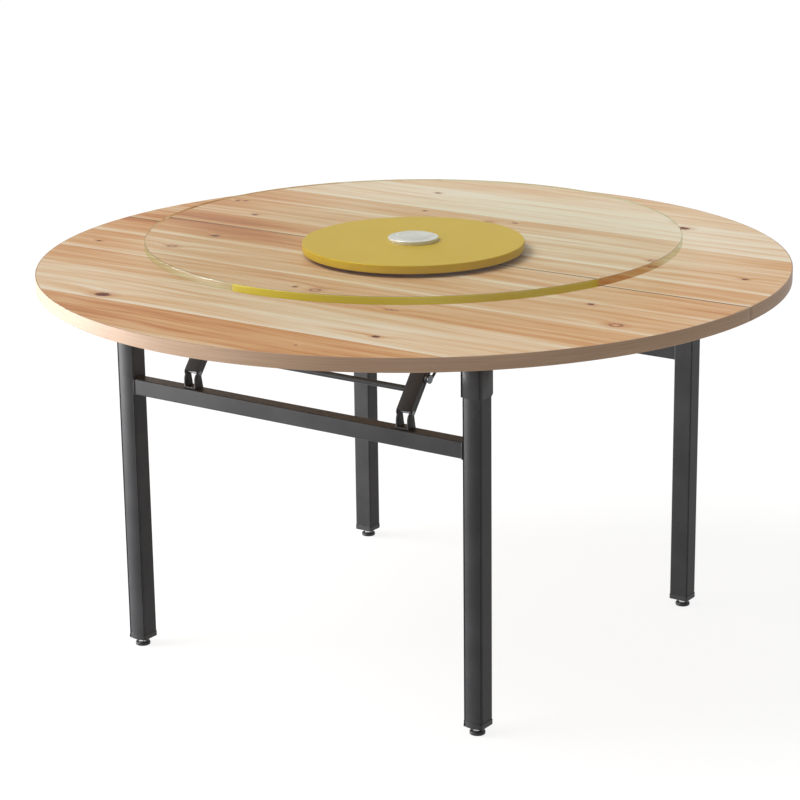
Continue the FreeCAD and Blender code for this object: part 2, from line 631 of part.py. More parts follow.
def brackets():
    """U brackets under the cross rails, each with the pin of an upper arm."""
    made, pins = [], []
    for frame in FRAMES:
        for hand, side in HANDS.items():
            centre = f"{side} * (brace_spread + flat_bar_offset + flat_bar_thickness / 2)"
            y = "bracket_pin_inset - leg_reach"
            plate = middle_block("bracket_plate_length", "bracket_plate_width", "bracket_plate_thickness",
                                 centre, y, BRACKET_FACE)
            clear = "flat_bar_thickness / 2 + bracket_gap"
            cheeks = []
            for edge in (-1, 1):
                start = f"{centre} + ({clear})"
                if edge < 0:
                    start = f"{centre} - ({clear}) - bracket_lug_thickness"
                cheeks.append(block("bracket_lug_thickness", "2 * bracket_lug_radius",
                                    f"{BRACKET_FACE} - bracket_pin_height", start,
                                    f"{y} - bracket_lug_radius", "bracket_pin_height"))
                cheeks.append(rod("bracket_lug_radius", "bracket_lug_thickness", start, y,
                                  "bracket_pin_height", ACROSS))
            half = f"({clear} + bracket_lug_thickness)"
            hole = rod("pin_radius + fixed_gap", f"2 * {half} + 2 * cut_overrun",
                       f"{centre} - {half} - cut_overrun", y, "bracket_pin_height", ACROSS)
            wide, spot = "bracket_plate_length", "bracket_screw_inset"
            holes = [rod("screw_radius + fixed_gap", "bracket_plate_thickness",
                         f"{centre} + {reach} * ({wide} / 2 - {spot})", y, BRACKET_FACE)
                     for reach in (-1, 1)]
            bracket = cut(join(plate, *cheeks), hole, *holes)
            shank = rod("pin_radius", f"2 * {half} + 2 * fixed_gap", f"{centre} - {half} - fixed_gap", y,
                        "bracket_pin_height", ACROSS)
            heads = [rod("pin_head_radius", "pin_head_height", start, y, "bracket_pin_height", ACROSS)
                     for start in (f"{centre} + {half} + fixed_gap",
                                   f"{centre} - {half} - fixed_gap - pin_head_height")]
            pin = join(shank, *heads)
            if frame == "rear":
                for piece in (bracket, pin):
                    piece.Placement = Placement(Vector(), Rotation(UPWARD, HALF_TURN))
            made.append(bracket)
            pins.append(pin)
    node(group(*made), "brace_brackets")
    node(group(*pins), "bracket_pins")


def turntable():
    """From the table up: rubber feet, base plate, ball race, lacquered disc, hub, clear pad and glass."""
    FEET = 6
    BALLS = 24
    base_bottom = "top_height + foot_height"
    base_top = f"({base_bottom} + base_thickness)"
    feet = []
    for index in range(FEET):
        turn = f"({index} * {FULL_TURN} / {FEET})"
        feet.append(rod("foot_radius", "foot_height", f"foot_ring_radius * cos({turn})",
                        f"foot_ring_radius * sin({turn})", "top_height"))
    node(group(*feet), "turntable_feet")
    plate = rod("base_radius", "base_thickness", z=base_bottom)
    spigot = rod("spigot_radius", "base_thickness + spigot_height", z=base_bottom)
    node(join(plate, spigot), "turntable_base")

    ball_height = f"({base_top} + race_height + race_spacing / 2)"
    for name, bottom in (("lower", base_top), ("upper", f"({base_top} + race_height + race_spacing)")):
        ring = rod("race_radius + race_width / 2", "race_height", z=bottom)
        hole = rod("race_radius - race_width / 2", "race_height", z=bottom)
        groove = doc.addObject("Part::Torus", "groove")
        bind(groove, Radius1="race_radius", Radius2="ball_radius + running_gap")
        base_at(groove, "0", "0", ball_height)
        node(cut(ring, hole, groove), f"turntable_{name}_race")
    balls = []
    for index in range(BALLS):
        turn = f"({index} * {FULL_TURN} / {BALLS})"
        ball = doc.addObject("Part::Sphere", "ball")
        bind(ball, Radius="ball_radius")
        base_at(ball, f"race_radius * cos({turn})", f"race_radius * sin({turn})", ball_height)
        balls.append(ball)
    node(group(*balls), "turntable_balls")

    low = "top_height + disc_underside"
    high = f"({low} + disc_thickness)"
    bore = "spigot_radius + running_gap"
    bore_top = f"{base_top} + spigot_height + seat_gap"
    recess = "race_radius + race_width / 2 + recess_gap"
    ceiling = f"{base_top} + 2 * race_height + race_spacing"
    disc = turned([("0", bore_top), (bore, bore_top), (bore, ceiling), (recess, ceiling), (recess, low),
                   ("disc_radius - disc_chamfer", low), ("disc_radius", f"{low} + disc_chamfer"),
                   ("disc_radius", f"{high} - disc_chamfer"), ("disc_radius - disc_chamfer", high),
                   ("0", high)])
    node(disc, "turntable_disc")
    peak = f"({high} + hub_height)"
    dish = f"{peak} - hub_dish_depth"
    hub = turned([("0", high), ("hub_radius", high), ("hub_radius", f"{peak} - hub_chamfer"),
                  ("hub_radius - hub_chamfer", peak), ("hub_dish_radius", peak),
                  ("hub_dish_radius - hub_dish_run", dish), ("0", dish)])
    node(hub, "turntable_hub")
    rest = f"{peak} + glass_lift"
    node(rod("glass_pad_radius", "hub_dish_depth + glass_lift", z=dish), "turntable_glass_pad")
    crest = f"{rest} + glass_thickness"
    glass = turned([("0", rest), ("glass_radius - glass_chamfer", rest),
                    ("glass_radius", f"{rest} + glass_chamfer"), ("glass_radius", f"{crest} - glass_chamfer"),
                    ("glass_radius - glass_chamfer", crest), ("0", crest)])
    node(glass, "turntable_glass")


top_boards()
rails()
screws()
legs()
glides()
crossbars()
hinges()
lugs()
lower_arms()
upper_arms()
brackets()
turntable()
doc.recompute()

for item in doc.Objects:
    if "Invalid" in item.State or "Error" in item.State:
        raise RuntimeError(f"{item.Label} did not compute: {item.State}")
for piece in finished:
    if piece.Shape.isNull() or not piece.Shape.isValid() or not piece.Shape.Solids:
        raise RuntimeError(f"{piece.Label} has no valid shape")

os.makedirs("parts", exist_ok=True)
for piece in finished:
    piece.Shape.exportStep(f"parts/{piece.Label}.step")
print(len(finished), "nodes", sum(len(piece.Shape.Solids) for piece in finished), "solids")
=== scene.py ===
import math

import bmesh
import bpy
import numpy as np
from mathutils import Matrix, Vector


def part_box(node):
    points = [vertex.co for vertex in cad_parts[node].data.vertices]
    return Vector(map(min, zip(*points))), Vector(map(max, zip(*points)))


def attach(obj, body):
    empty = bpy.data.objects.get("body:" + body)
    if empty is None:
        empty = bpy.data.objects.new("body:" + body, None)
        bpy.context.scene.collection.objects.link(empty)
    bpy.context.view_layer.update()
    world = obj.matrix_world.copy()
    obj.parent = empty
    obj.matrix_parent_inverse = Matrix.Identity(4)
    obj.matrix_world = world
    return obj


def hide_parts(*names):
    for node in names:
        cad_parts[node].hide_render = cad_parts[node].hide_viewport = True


# A round dining table 1.4 m across: two half boards of fir on two folding frames of black steel,
# with a turntable of clear glass that rests on a gold lacquered disc. Everything is in metres.
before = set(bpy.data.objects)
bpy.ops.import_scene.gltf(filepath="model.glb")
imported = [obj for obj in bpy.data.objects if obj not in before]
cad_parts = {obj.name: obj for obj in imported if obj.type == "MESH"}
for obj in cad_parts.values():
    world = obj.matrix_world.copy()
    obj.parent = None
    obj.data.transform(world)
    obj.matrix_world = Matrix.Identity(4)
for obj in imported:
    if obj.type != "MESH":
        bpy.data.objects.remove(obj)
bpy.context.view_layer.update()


# The camera stands at the front right, a little above the table top and 4.7 m away, and looks down
# at the table through a long lens.
CAMERA_PLACE = (2.5812, -3.7372, 1.7907)
CAMERA_AZIMUTH = 34.991
CAMERA_ELEVATION = 16.395
CAMERA_ROLL = -0.72
CAMERA_LENS = 112.28
SENSOR_WIDTH = 36

scene = bpy.context.scene
camera_data = bpy.data.cameras.new("table_camera")
camera_data.sensor_width = SENSOR_WIDTH
camera_data.lens = CAMERA_LENS
camera = bpy.data.objects.new("table_camera", camera_data)
scene.collection.objects.link(camera)
scene.camera = camera
camera.matrix_world = (
    Matrix.Translation(CAMERA_PLACE)
    @ Matrix.Rotation(math.radians(CAMERA_AZIMUTH), 4, "Z")
    @ Matrix.Rotation(math.radians(90 - CAMERA_ELEVATION), 4, "X")
    @ Matrix.Rotation(math.radians(CAMERA_ROLL), 4, "Z")
)
scene.view_settings.view_transform = "Standard"


# The studio: a floor of pale paper under a white surround. A very soft lamp high at the left front
# lights the top, and two soft panels at the left, kept below the height of the top, draw the light
# edges of the black tubes.
WHITE = "#FFFFFF"
PAPER = "#DEDEDC"
PAPER_SHADE = "#717170"
DOME_LIGHT = 0.4
FLOOR_HALF = 40
FLOOR_GLOW = 0.87
KEY_STRENGTH = 2.2
KEY_SOFTNESS = 34
KEY_AZIMUTH = -52
KEY_TILT = 38
# Each panel's power, width and height, its azimuth from -Y towards +X, its distance and its aim.
PANELS = {
    "side_panel": (190, 2.6, 0.7, -66, 3.6, (-0.2, 0, 0.36)),
    "near_panel": (10, 0.9, 0.7, -42, 1.25, (-0.37, -0.37, 0.36)),
}


def linear(hex_colour):
    """An sRGB hex colour as linear red, green and blue, with an alpha of one."""
    shares = [int(hex_colour[place:place + 2], 16) / 255 for place in (1, 3, 5)]
    return tuple(s / 12.92 if s <= 0.04045 else ((s + 0.055) / 1.055) ** 2.4 for s in shares) + (1.0,)


def add(tree, kind, inputs=(), stops=(), **settings):
    """Adds one node of a kind, named without ShaderNode, with its settings and its links.

    Inputs gives each socket, by its name or by its place, a number, a vector, a hex colour, the socket
    that feeds it, or the node whose first output does. Stops are a colour ramp's places and colours.
    """
    made = tree.nodes.new("ShaderNode" + kind)
    for name, value in settings.items():
        setattr(made, name, value)
    for name, value in inputs.items() if isinstance(inputs, dict) else enumerate(inputs):
        if isinstance(value, bpy.types.Node):
            value = value.outputs[0]
        if isinstance(value, bpy.types.NodeSocket):
            tree.links.new(value, made.inputs[name])
        else:
            made.inputs[name].default_value = linear(value) if isinstance(value, str) else value
    for _ in stops[2:]:
        made.color_ramp.elements.new(1.0)
    for index, (place, colour) in enumerate(stops):
        made.color_ramp.elements[index].position = place
        made.color_ramp.elements[index].color = linear(colour) if isinstance(colour, str) else colour
    return made


def finish(name):
    """An empty material and its tree."""
    material = bpy.data.materials.new(name)
    material.use_nodes = True
    material.node_tree.nodes.clear()
    return material, material.node_tree


def seen(tree):
    """1 for the rays that show the surround: those of the camera, of gloss and of clear glass.

    It is 0 once a ray has left a matt surface, so that the glass gathers no extra light on the wood.
    """
    path = add(tree, "LightPath")
    shown = add(tree, "Math", (path.outputs["Is Camera Ray"], path.outputs["Is Glossy Ray"]),
                operation="MAXIMUM")
    shown = add(tree, "Math", (shown, path.outputs["Is Transmission Ray"]), operation="MAXIMUM")
    direct = add(tree, "Math", (path.outputs["Diffuse Depth"], 0.5), operation="LESS_THAN")
    return add(tree, "Math", (shown, direct), operation="MULTIPLY")


def studio_paper():
    """Matt white paper: it looks almost white, but throws only a little light up at the table."""
    material, tree = finish("studio_paper")
    matt = add(tree, "BsdfDiffuse", {"Color": PAPER})
    dim = add(tree, "BsdfDiffuse", {"Color": PAPER_SHADE})
    glow = add(tree, "Emission", {"Color": WHITE, "Strength": FLOOR_GLOW})
    lifted = add(tree, "AddShader", (dim, glow))
    mixed = add(tree, "MixShader", (seen(tree), matt, lifted))
    add(tree, "OutputMaterial", {"Surface": mixed})
    return material


surround = bpy.data.worlds.new("white_surround")
scene.world = surround
surround.use_nodes = True
surround.node_tree.nodes.clear()
dome_strength = add(surround.node_tree, "MapRange",
                    {"Value": seen(surround.node_tree), "To Min": DOME_LIGHT, "To Max": 1.0})
dome = add(surround.node_tree, "Background", {"Color": WHITE, "Strength": dome_strength})
add(surround.node_tree, "OutputWorld", {"Surface": dome})

floor_mesh = bpy.data.meshes.new("studio_floor")
floor_corners = [(-FLOOR_HALF, -FLOOR_HALF, 0), (FLOOR_HALF, -FLOOR_HALF, 0),
                 (FLOOR_HALF, FLOOR_HALF, 0), (-FLOOR_HALF, FLOOR_HALF, 0)]
floor_mesh.from_pydata(floor_corners, [], [(0, 1, 2, 3)])
floor_mesh.materials.append(studio_paper())
floor = bpy.data.objects.new("studio_floor", floor_mesh)
scene.collection.objects.link(floor)

key_data = bpy.data.lights.new("soft_key", "SUN")
key_data.energy = KEY_STRENGTH
key_data.angle = math.radians(KEY_SOFTNESS)
key = bpy.data.objects.new("soft_key", key_data)
key.matrix_world = (
    Matrix.Rotation(math.radians(KEY_AZIMUTH), 4, "Z") @ Matrix.Rotation(math.radians(KEY_TILT), 4, "X")
)
scene.collection.objects.link(key)
for name, (power, width, height, azimuth, distance, aim) in PANELS.items():
    panel_data = bpy.data.lights.new(name, "AREA")
    panel_data.shape = "RECTANGLE"
    panel_data.size, panel_data.size_y, panel_data.energy = width, height, power
    panel = bpy.data.objects.new(name, panel_data)
    panel.matrix_world = (
        Matrix.Translation(aim)
        @ Matrix.Rotation(math.radians(azimuth), 4, "Z")
        @ Matrix.Translation((0, -distance, 0))
        @ Matrix.Rotation(math.pi / 2, 4, "X")
    )
    scene.collection.objects.link(panel)


# The two half boards: solid fir planks glued side by side along X, cut to half discs, sanded and
# lacquered clear. Their edges are broken by a few tenths of a millimetre, as sanding leaves them.
MM = 0.001
SEAM_EASE = 0.3 * MM
EDGE_EASE = 0.4 * MM
GUARD_REACH = 1.4
DOUBLE_REACH = 0.004 * MM
SLIVER_REACH = 0.001 * MM
BOARD_COLUMNS = 320
# The planks are laid out from -700 to 700 mm across. Each has its lower edge in mm, its share of
# heartwood from 0 to 1, and which grain it has.
FIELD_HALF = 700
PLANKS = [(-700, 0.72, 1), (-550, 0.32, 2), (-388, 0.54, 3), (-262, 0.44, 4), (-122, 0.56, 5),
          (0, 0.58, 6), (84, 0.46, 7), (228, 0.54, 8), (334, 0.26, 9), (500, 0.44, 10)]
GRAIN_APART = 71
# Each knot's x and y and radius in mm: dark red ones, then ringed ones with a pale heart. A knot is a
# third longer along the grain, and none is looked for beyond 99 of its radii.
DARK_KNOTS = [(-309, -522, 12), (269, -501, 6), (-602, -199, 4), (-558, 204, 4), (-572, 196, 4),
              (-458, 107, 5), (-405, -85, 7), (-26, -332, 4), (189, -614, 2.5), (303, 489, 10),
              (599, 176, 5), (458, -126, 5), (-264, 475, 5), (-189, 316, 4), (26, 314, 4)]
RINGED_KNOTS = [(-418, -198, 8), (19, -333, 9), (183, -342, 5), (195, -340, 4), (566, -227, 10),
                (412, 175, 7), (-24, 297, 6)]
KNOT_SHORTENED = 0.75
FARTHEST_KNOT = 99
# Broad patches of heartwood or sapwood: middle x and y, reach in x and y in mm, and strength.
PATCHES = [(-520, 10, 230, 75, 0.40), (-350, -60, 150, 50, 0.18), (-640, -150, 90, 60, 0.20),
           (250, 150, 420, 160, -0.16), (-60, -620, 300, 60, 0.06), (225, -497, 60, 4, 0.50),
           (-480, -470, 200, 80, -0.08), (180, -470, 360, 50, -0.10), (-600, 200, 170, 120, 0.26),
           (-420, -20, 120, 90, 0.08), (150, 480, 600, 170, -0.24), (-250, -620, 90, 40, 0.14),
           (620, 0, 120, 320, 0.13), (-600, -250, 100, 80, 0.16)]
# How far the grain rises beside a knot and wanders along a plank, and the gap of its rings, in mm. One
# wander is 455 mm long and 200 mm wide.
KNOT_RISE = 16
KNOT_NARROWNESS = 0.11
GRAIN_WANDER = 46
WANDERS_PER_METRE = (2.2, 5, 1)
RING_GAP = 7.5
RING_DRIFT = 9
# How much each kind of streak, the pale strip and the latewood change the share of heartwood, the
# scale of the whole, and how much a knot's outline wobbles, in its radii, over ripples of 6 mm.
BROAD_STREAKS, NARROW_STREAKS, FIBRES = 1.3, 0.4, 0.3
PALE_STRIP = 0.42
LATEWOOD = 0.13
HEARTWOOD_SCALE = 0.75
KNOT_WOBBLE = 0.7
RIPPLES_PER_MM = 0.16
FIR_TONES = [(0.0, "#E2D5BD"), (0.225, "#DABF9C"), (0.4125, "#D0A87C"), (0.6, "#C69260"),
             (0.75, "#B57642"), (1.0, "#9A5C30")]
DARK_KNOT_TONES = [(0.0, "#4F2012"), (0.6, "#6A2E1A"), (0.95, "#53230F")]
RINGED_KNOT_TONES = [(0.0, "#D3A77C"), (0.5, "#C4916A"), (0.8, "#7A4226")]
JOINT_BROWN = "#8F6238"
SEAM_BROWN = "#5E3D24"
HALO_BROWN = "#B0703F"
board_low, board_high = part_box("top_board_front")
board_radius = board_high.x
seam_half = -board_high.y


def eased(corners, reach, steps=4, closed=True):
    """A line through corners, each cut back by its reach and joined by a quadratic curve.

    Beside each curve a guard point keeps the shading of the flat beside it flat. A corner whose
    reach is zero stays one point, and so do the two ends of an open line.
    """
    corners = np.array(corners, float)
    reach = np.broadcast_to(np.array(reach, float), len(corners)).copy()
    if not closed:
        reach[[0, -1]] = 0
    before = np.roll(corners, 1, 0) - corners
    after = np.roll(corners, -1, 0) - corners
    before /= np.linalg.norm(before, axis=1, keepdims=True)
    after /= np.linalg.norm(after, axis=1, keepdims=True)
    start, end = corners + before * reach[:, None], corners + after * reach[:, None]
    share = np.linspace(0, 1, steps + 1)[None, :, None]
    middle = 2 * share * (1 - share) * corners[:, None]
    curve = (1 - share) ** 2 * start[:, None] + middle + share ** 2 * end[:, None]
    guards = [(corners + side * GUARD_REACH * reach[:, None])[:, None] for side in (before, after)]
    points = np.concatenate([guards[0], curve, guards[1]], 1)
    keep = np.ones(points.shape[:2], bool)
    keep[reach == 0, 1:] = False
    return points[keep]


def piece(name, grids, material, body, slot, *nodes):
    """One mesh out of grids of points, each with whether its rows and its columns close on themselves."""
    points, faces, count = [], [], 0
    for grid, rows_close, columns_close in grids:
        index = np.arange(grid.shape[0] * grid.shape[1]).reshape(grid.shape[:2]) + count
        count += index.size
        if rows_close:
            index = np.vstack([index, index[:1]])
        if columns_close:
            index = np.hstack([index, index[:, :1]])
        quads = np.stack([index[:-1, :-1], index[:-1, 1:], index[1:, 1:], index[1:, :-1]], -1)
        points.append(grid.reshape(-1, 3))
        faces.append(quads.reshape(-1, 4))
    mesh = bpy.data.meshes.new(name)
    mesh.from_pydata(np.concatenate(points), [], np.concatenate(faces).tolist())
    work = bmesh.new()
    work.from_mesh(mesh)
    bmesh.ops.remove_doubles(work, verts=work.verts, dist=DOUBLE_REACH)
    bmesh.ops.dissolve_degenerate(work, edges=work.edges, dist=SLIVER_REACH)
    bmesh.ops.recalc_face_normals(work, faces=work.faces)
    work.to_mesh(mesh)
    work.free()
    mesh.shade_smooth()
    made = bpy.data.objects.new(name, mesh)
    scene.collection.objects.link(made)
    dress(made, material, body, slot, *nodes)


def dress(made, material, body, slot, *nodes):
    """Gives a piece its material, the body it rides on and the nodes it stands for; its slot is not used."""
    made.data.materials.clear()
    made.data.materials.append(material)
    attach(made, body)
    if nodes:
        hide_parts(*nodes)


def clear_lacquered_fir():
    """Clear-lacquered fir: pale sapwood and orange heartwood in long streaks, with red-brown knots.

    Each plank has its own tone and its own piece of grain. The streaks are noise drawn out along X;
    near a knot the grain rises by a bell curve of the distance, so that its lines flow round the knot.
    """
    material, tree = finish("clear_lacquered_fir")
    here = add(tree, "TexCoord").outputs["Object"]
    place = add(tree, "Mapping", {"Vector": here, "Scale": (1 / MM, 1 / MM, 1 / MM)})
    axes = add(tree, "SeparateXYZ", (place,))
    x, y = axes.outputs[0], axes.outputs[1]
    flat = add(tree, "VectorMath", (place, (KNOT_SHORTENED, 1, 0)), operation="MULTIPLY")

    def nearest(knots):
        """The distance to the nearest of these knots, in radii of that knot."""
        near = FARTHEST_KNOT
        for knot_x, knot_y, radius in knots:
            middle = (KNOT_SHORTENED * knot_x, knot_y, 0)
            away = add(tree, "VectorMath", (flat, middle), operation="DISTANCE").outputs["Value"]
            radii = add(tree, "Math", (away, radius), operation="DIVIDE")
            near = add(tree, "Math", (near, radii), operation="MINIMUM")
        return near

    def bell(distance, narrowness):
        """1 in the middle, falling to 0 as e to the power of minus the distance squared."""
        square = add(tree, "Math", (distance, 2), operation="POWER")
        fall = add(tree, "Math", (square, -narrowness), operation="MULTIPLY")
        return add(tree, "Math", (math.e, fall), operation="POWER")

    near_dark, near_ringed = nearest(DARK_KNOTS), nearest(RINGED_KNOTS)
    near = add(tree, "Math", (near_dark, near_ringed), operation="MINIMUM")

    # A stepped ramp holds each plank's share of heartwood, its grain and its lower edge.
    share = add(tree, "MapRange", {"Value": y, "From Min": -FIELD_HALF, "From Max": FIELD_HALF})
    edges = [(low + FIELD_HALF) / (2 * FIELD_HALF) for low, _, _ in PLANKS]
    steps = [(edge, (tone, grain / len(PLANKS), edge, 1)) for edge, (_, tone, grain) in zip(edges, PLANKS)]
    planks = add(tree, "ValToRGB", (share,), steps)
    planks.color_ramp.interpolation = "CONSTANT"
    heart, grain, edge = add(tree, "SeparateColor", (planks,)).outputs
    above = add(tree, "Math", (share, edge), operation="SUBTRACT")
    deep = add(tree, "Math", (above, 2 * FIELD_HALF), operation="MULTIPLY")

    span = add(tree, "Mapping", {"Vector": here, "Scale": WANDERS_PER_METRE})
    wander = add(tree, "TexNoise", {"Vector": span, "Scale": 1, "Detail": 2})
    risen = add(tree, "Math", (bell(near, KNOT_NARROWNESS), KNOT_RISE, y), operation="MULTIPLY_ADD")
    grain_y = add(tree, "Math", (wander, GRAIN_WANDER, risen), operation="MULTIPLY_ADD")
    grain_z = add(tree, "Math", (grain, GRAIN_APART), operation="MULTIPLY")

    def streaks(along, across, detail, roughness):
        """Noise whose spots are along mm long and across mm wide, different in each plank."""
        spot_x = add(tree, "Math", (x, along), operation="DIVIDE")
        spot_y = add(tree, "Math", (grain_y, across), operation="DIVIDE")
        spot = add(tree, "CombineXYZ", (spot_x, spot_y, grain_z))
        return add(tree, "TexNoise", {"Vector": spot, "Scale": 1, "Detail": detail, "Roughness": roughness})

    broad = streaks(420, 20, 3, 0.55)
    narrow = streaks(180, 5, 3, 0.6)
    fibre = streaks(60, 1.4, 2, 0.6)
    drift = add(tree, "Math", (broad, RING_DRIFT), operation="MULTIPLY")
    phase = add(tree, "Math", (grain_y, 2 * math.pi / RING_GAP, drift), operation="MULTIPLY_ADD")
    wave = add(tree, "Math", (phase,), operation="SINE")
    crest = add(tree, "Math", (wave, 0.5, 0.5), operation="MULTIPLY_ADD")
    latewood = add(tree, "Math", (crest, 3), operation="POWER")

    for patch_x, patch_y, reach_x, reach_y, strength in PATCHES:
        shift = add(tree, "VectorMath", (place, (-patch_x, -patch_y, 0)), operation="ADD")
        scaled = add(tree, "VectorMath", (shift, (1 / reach_x, 1 / reach_y, 0)), operation="MULTIPLY")
        reach = add(tree, "VectorMath", (scaled,), operation="LENGTH").outputs["Value"]
        heart = add(tree, "Math", (bell(reach, 1), strength, heart), operation="MULTIPLY_ADD")
    # A pale strip of sapwood runs along each plank's lower edge.
    strip = add(tree, "MapRange", {"Value": deep, "From Min": 24, "From Max": 4, "To Max": PALE_STRIP})
    heart = add(tree, "Math", (heart, strip), operation="SUBTRACT")
    for streak, strength in ((broad, BROAD_STREAKS), (narrow, NARROW_STREAKS), (fibre, FIBRES)):
        swing = add(tree, "Math", (streak, strength, -strength / 2), operation="MULTIPLY_ADD")
        heart = add(tree, "Math", (heart, swing), operation="ADD")
    heart = add(tree, "Math", (latewood, LATEWOOD, heart), operation="MULTIPLY_ADD")
    heart = add(tree, "Math", (heart, HEARTWOOD_SCALE), operation="MULTIPLY")
    wood = add(tree, "ValToRGB", (heart,), FIR_TONES)

    # The glued joint between two planks is a soft brown line, and the shade in the seam a dark one.
    joint = add(tree, "MapRange", {"Value": deep, "From Min": 1.0, "From Max": 2.6, "To Min": 0.4,
                                   "To Max": 0})
    from_seam = add(tree, "Math", (y,), operation="ABSOLUTE")
    seam = add(tree, "MapRange", {"Value": from_seam, "From Min": 1.6, "From Max": 3.2, "To Min": 0.8,
                                  "To Max": 0})
    # A knot has a reddish halo round a core, and both have an uneven outline.
    ripple = add(tree, "TexNoise", {"Vector": place, "Scale": RIPPLES_PER_MM, "Detail": 2})
    wobble = add(tree, "Math", (ripple, KNOT_WOBBLE, -KNOT_WOBBLE / 2), operation="MULTIPLY_ADD")
    rough_near = add(tree, "Math", (near, wobble), operation="ADD")
    halo = add(tree, "MapRange", {"Value": rough_near, "From Min": 2.6, "From Max": 0.7, "To Max": 0.5})
    dark_core = add(tree, "ValToRGB", (rough_near,), DARK_KNOT_TONES)
    pale_core = add(tree, "ValToRGB", (rough_near,), RINGED_KNOT_TONES)
    ringed = add(tree, "Math", (near_ringed, near_dark), operation="LESS_THAN")
    core = add(tree, "Mix", {0: ringed, 6: dark_core, 7: pale_core}, data_type="RGBA").outputs[2]
    inside = add(tree, "MapRange", {"Value": rough_near, "From Min": 1.1, "From Max": 0.85})
    for cover, colour in ((joint, JOINT_BROWN), (seam, SEAM_BROWN), (halo, HALO_BROWN), (inside, core)):
        wood = add(tree, "Mix", {0: cover, 6: wood, 7: colour}, data_type="RGBA").outputs[2]
    gloss = add(tree, "MapRange", {"Value": narrow, "To Min": 0.38, "To Max": 0.52})
    relief = add(tree, "Bump", {"Height": fibre, "Strength": 0.12, "Distance": 0.15 * MM})
    skin = add(tree, "BsdfPrincipled", {"Base Color": wood, "Roughness": gloss, "Normal": relief,
                                        "Specular IOR Level": 0.1})
    add(tree, "OutputMaterial", {"Surface": skin})
    return material


def half_board(name, side, material, node):
    """Across X the section is a rectangle as deep as the half disc is there, with eased corners."""
    angle = np.linspace(-math.pi / 2, math.pi / 2, BOARD_COLUMNS)
    reach_x = board_radius * np.sin(angle)
    depth = np.maximum(np.sqrt(board_radius ** 2 - reach_x ** 2) - seam_half, 0)[:, None]
    section = eased([(0, board_low.z), (1, board_low.z), (1, board_high.z), (0, board_high.z)],
                    (SEAM_EASE, EDGE_EASE, EDGE_EASE, SEAM_EASE))
    share, height = section[None, :, 0], section[None, :, 1]
    from_seam = np.where(share < 0.5, np.minimum(share, depth), depth * share)
    grid = np.stack(np.broadcast_arrays(reach_x[:, None], side * (seam_half + from_seam), height), -1)
    piece(name, [(grid, False, True)], material, "root", "fir_laminate", node)


fir = clear_lacquered_fir()
half_board("board_front", -1, fir, "top_board_front")
half_board("board_rear", 1, fir, "top_board_rear")


# The edge bands: wood-grained strips of 2 mm ironed round each half board, with a softly rounded
# outer edge and a slightly deeper tone than the top.
BAND_THICK = 2 * MM
BAND_EASE = 0.9 * MM
INNER_EASE = 0.15 * MM
BAND_STEPS = 220
# Grain lines 1.6 mm apart run round the rim, over clouds 200 mm long and 25 mm high.
BAND_LINES_PER_METRE = (9, 9, 620)
BAND_CLOUDS_PER_METRE = (5, 5, 40)
BAND_TONES = [(0.3, "#9B806A"), (0.5, "#A88C75"), (0.7, "#B49880")]
band_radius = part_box("edge_band_front")[1].x


def printed_band():
    """Satin printed band: fine grain lines that run round the rim, drawn a little coarser than real."""
    material, tree = finish("wood_tone_edge_band")
    here = add(tree, "TexCoord").outputs["Object"]
    line_place = add(tree, "Mapping", {"Vector": here, "Scale": BAND_LINES_PER_METRE})
    lines = add(tree, "TexNoise", {"Vector": line_place, "Scale": 1, "Detail": 3})
    cloud_place = add(tree, "Mapping", {"Vector": here, "Scale": BAND_CLOUDS_PER_METRE})
    clouds = add(tree, "TexNoise", {"Vector": cloud_place, "Scale": 1, "Detail": 1})
    cloudy = add(tree, "Math", (clouds, 0.4), operation="MULTIPLY")
    both = add(tree, "Math", (lines, 0.6, cloudy), operation="MULTIPLY_ADD")
    tone = add(tree, "ValToRGB", (both,), BAND_TONES)
    skin = add(tree, "BsdfPrincipled", {"Base Color": tone, "Roughness": 0.46, "Specular IOR Level": 0.12})
    add(tree, "OutputMaterial", {"Surface": skin})
    return material


def drawn_in(grid):
    """The grid with a row more at each end, in which its section is drawn in to one point."""
    ends = [np.broadcast_to(row.mean(0), row.shape)[None] for row in (grid[0], grid[-1])]
    return np.concatenate([ends[0], grid, ends[1]])


def arc_band(name, side, material, node):
    """A rounded rectangle carried round a half circle."""
    first = math.asin(seam_half / band_radius)
    angle = np.linspace(first, math.pi - first, BAND_STEPS)[:, None]
    inner = band_radius - BAND_THICK
    section = eased([(inner, board_low.z), (band_radius, board_low.z), (band_radius, board_high.z),
                     (inner, board_high.z)], (INNER_EASE, BAND_EASE, BAND_EASE, INNER_EASE))
    radius, height = section[None, :, 0], section[None, :, 1]
    grid = np.stack(np.broadcast_arrays(radius * np.cos(angle), side * radius * np.sin(angle), height), -1)
    piece(name, [(drawn_in(grid), False, True)], material, "root", "edge_band", node)


band = printed_band()
arc_band("band_front", -1, band, "edge_band_front")
arc_band("band_rear", 1, band, "edge_band_rear")


# The rails and plates under the top: steel bar and strip that tie the half boards and are screwed to
# them, powder-coated black like all the steel of the frames.
RAILS = ("side_rail_left", "side_rail_right", "cross_rail_front", "cross_rail_rear", "seam_plates")
POWDER_PEEL = 1.6 * MM
# The gloss varies a little in clouds 70 mm wide.
POWDER_CLOUDS_PER_METRE = 14
POWDER_TONES = [(0.35, "#353537"), (0.65, "#3C3C3E")]


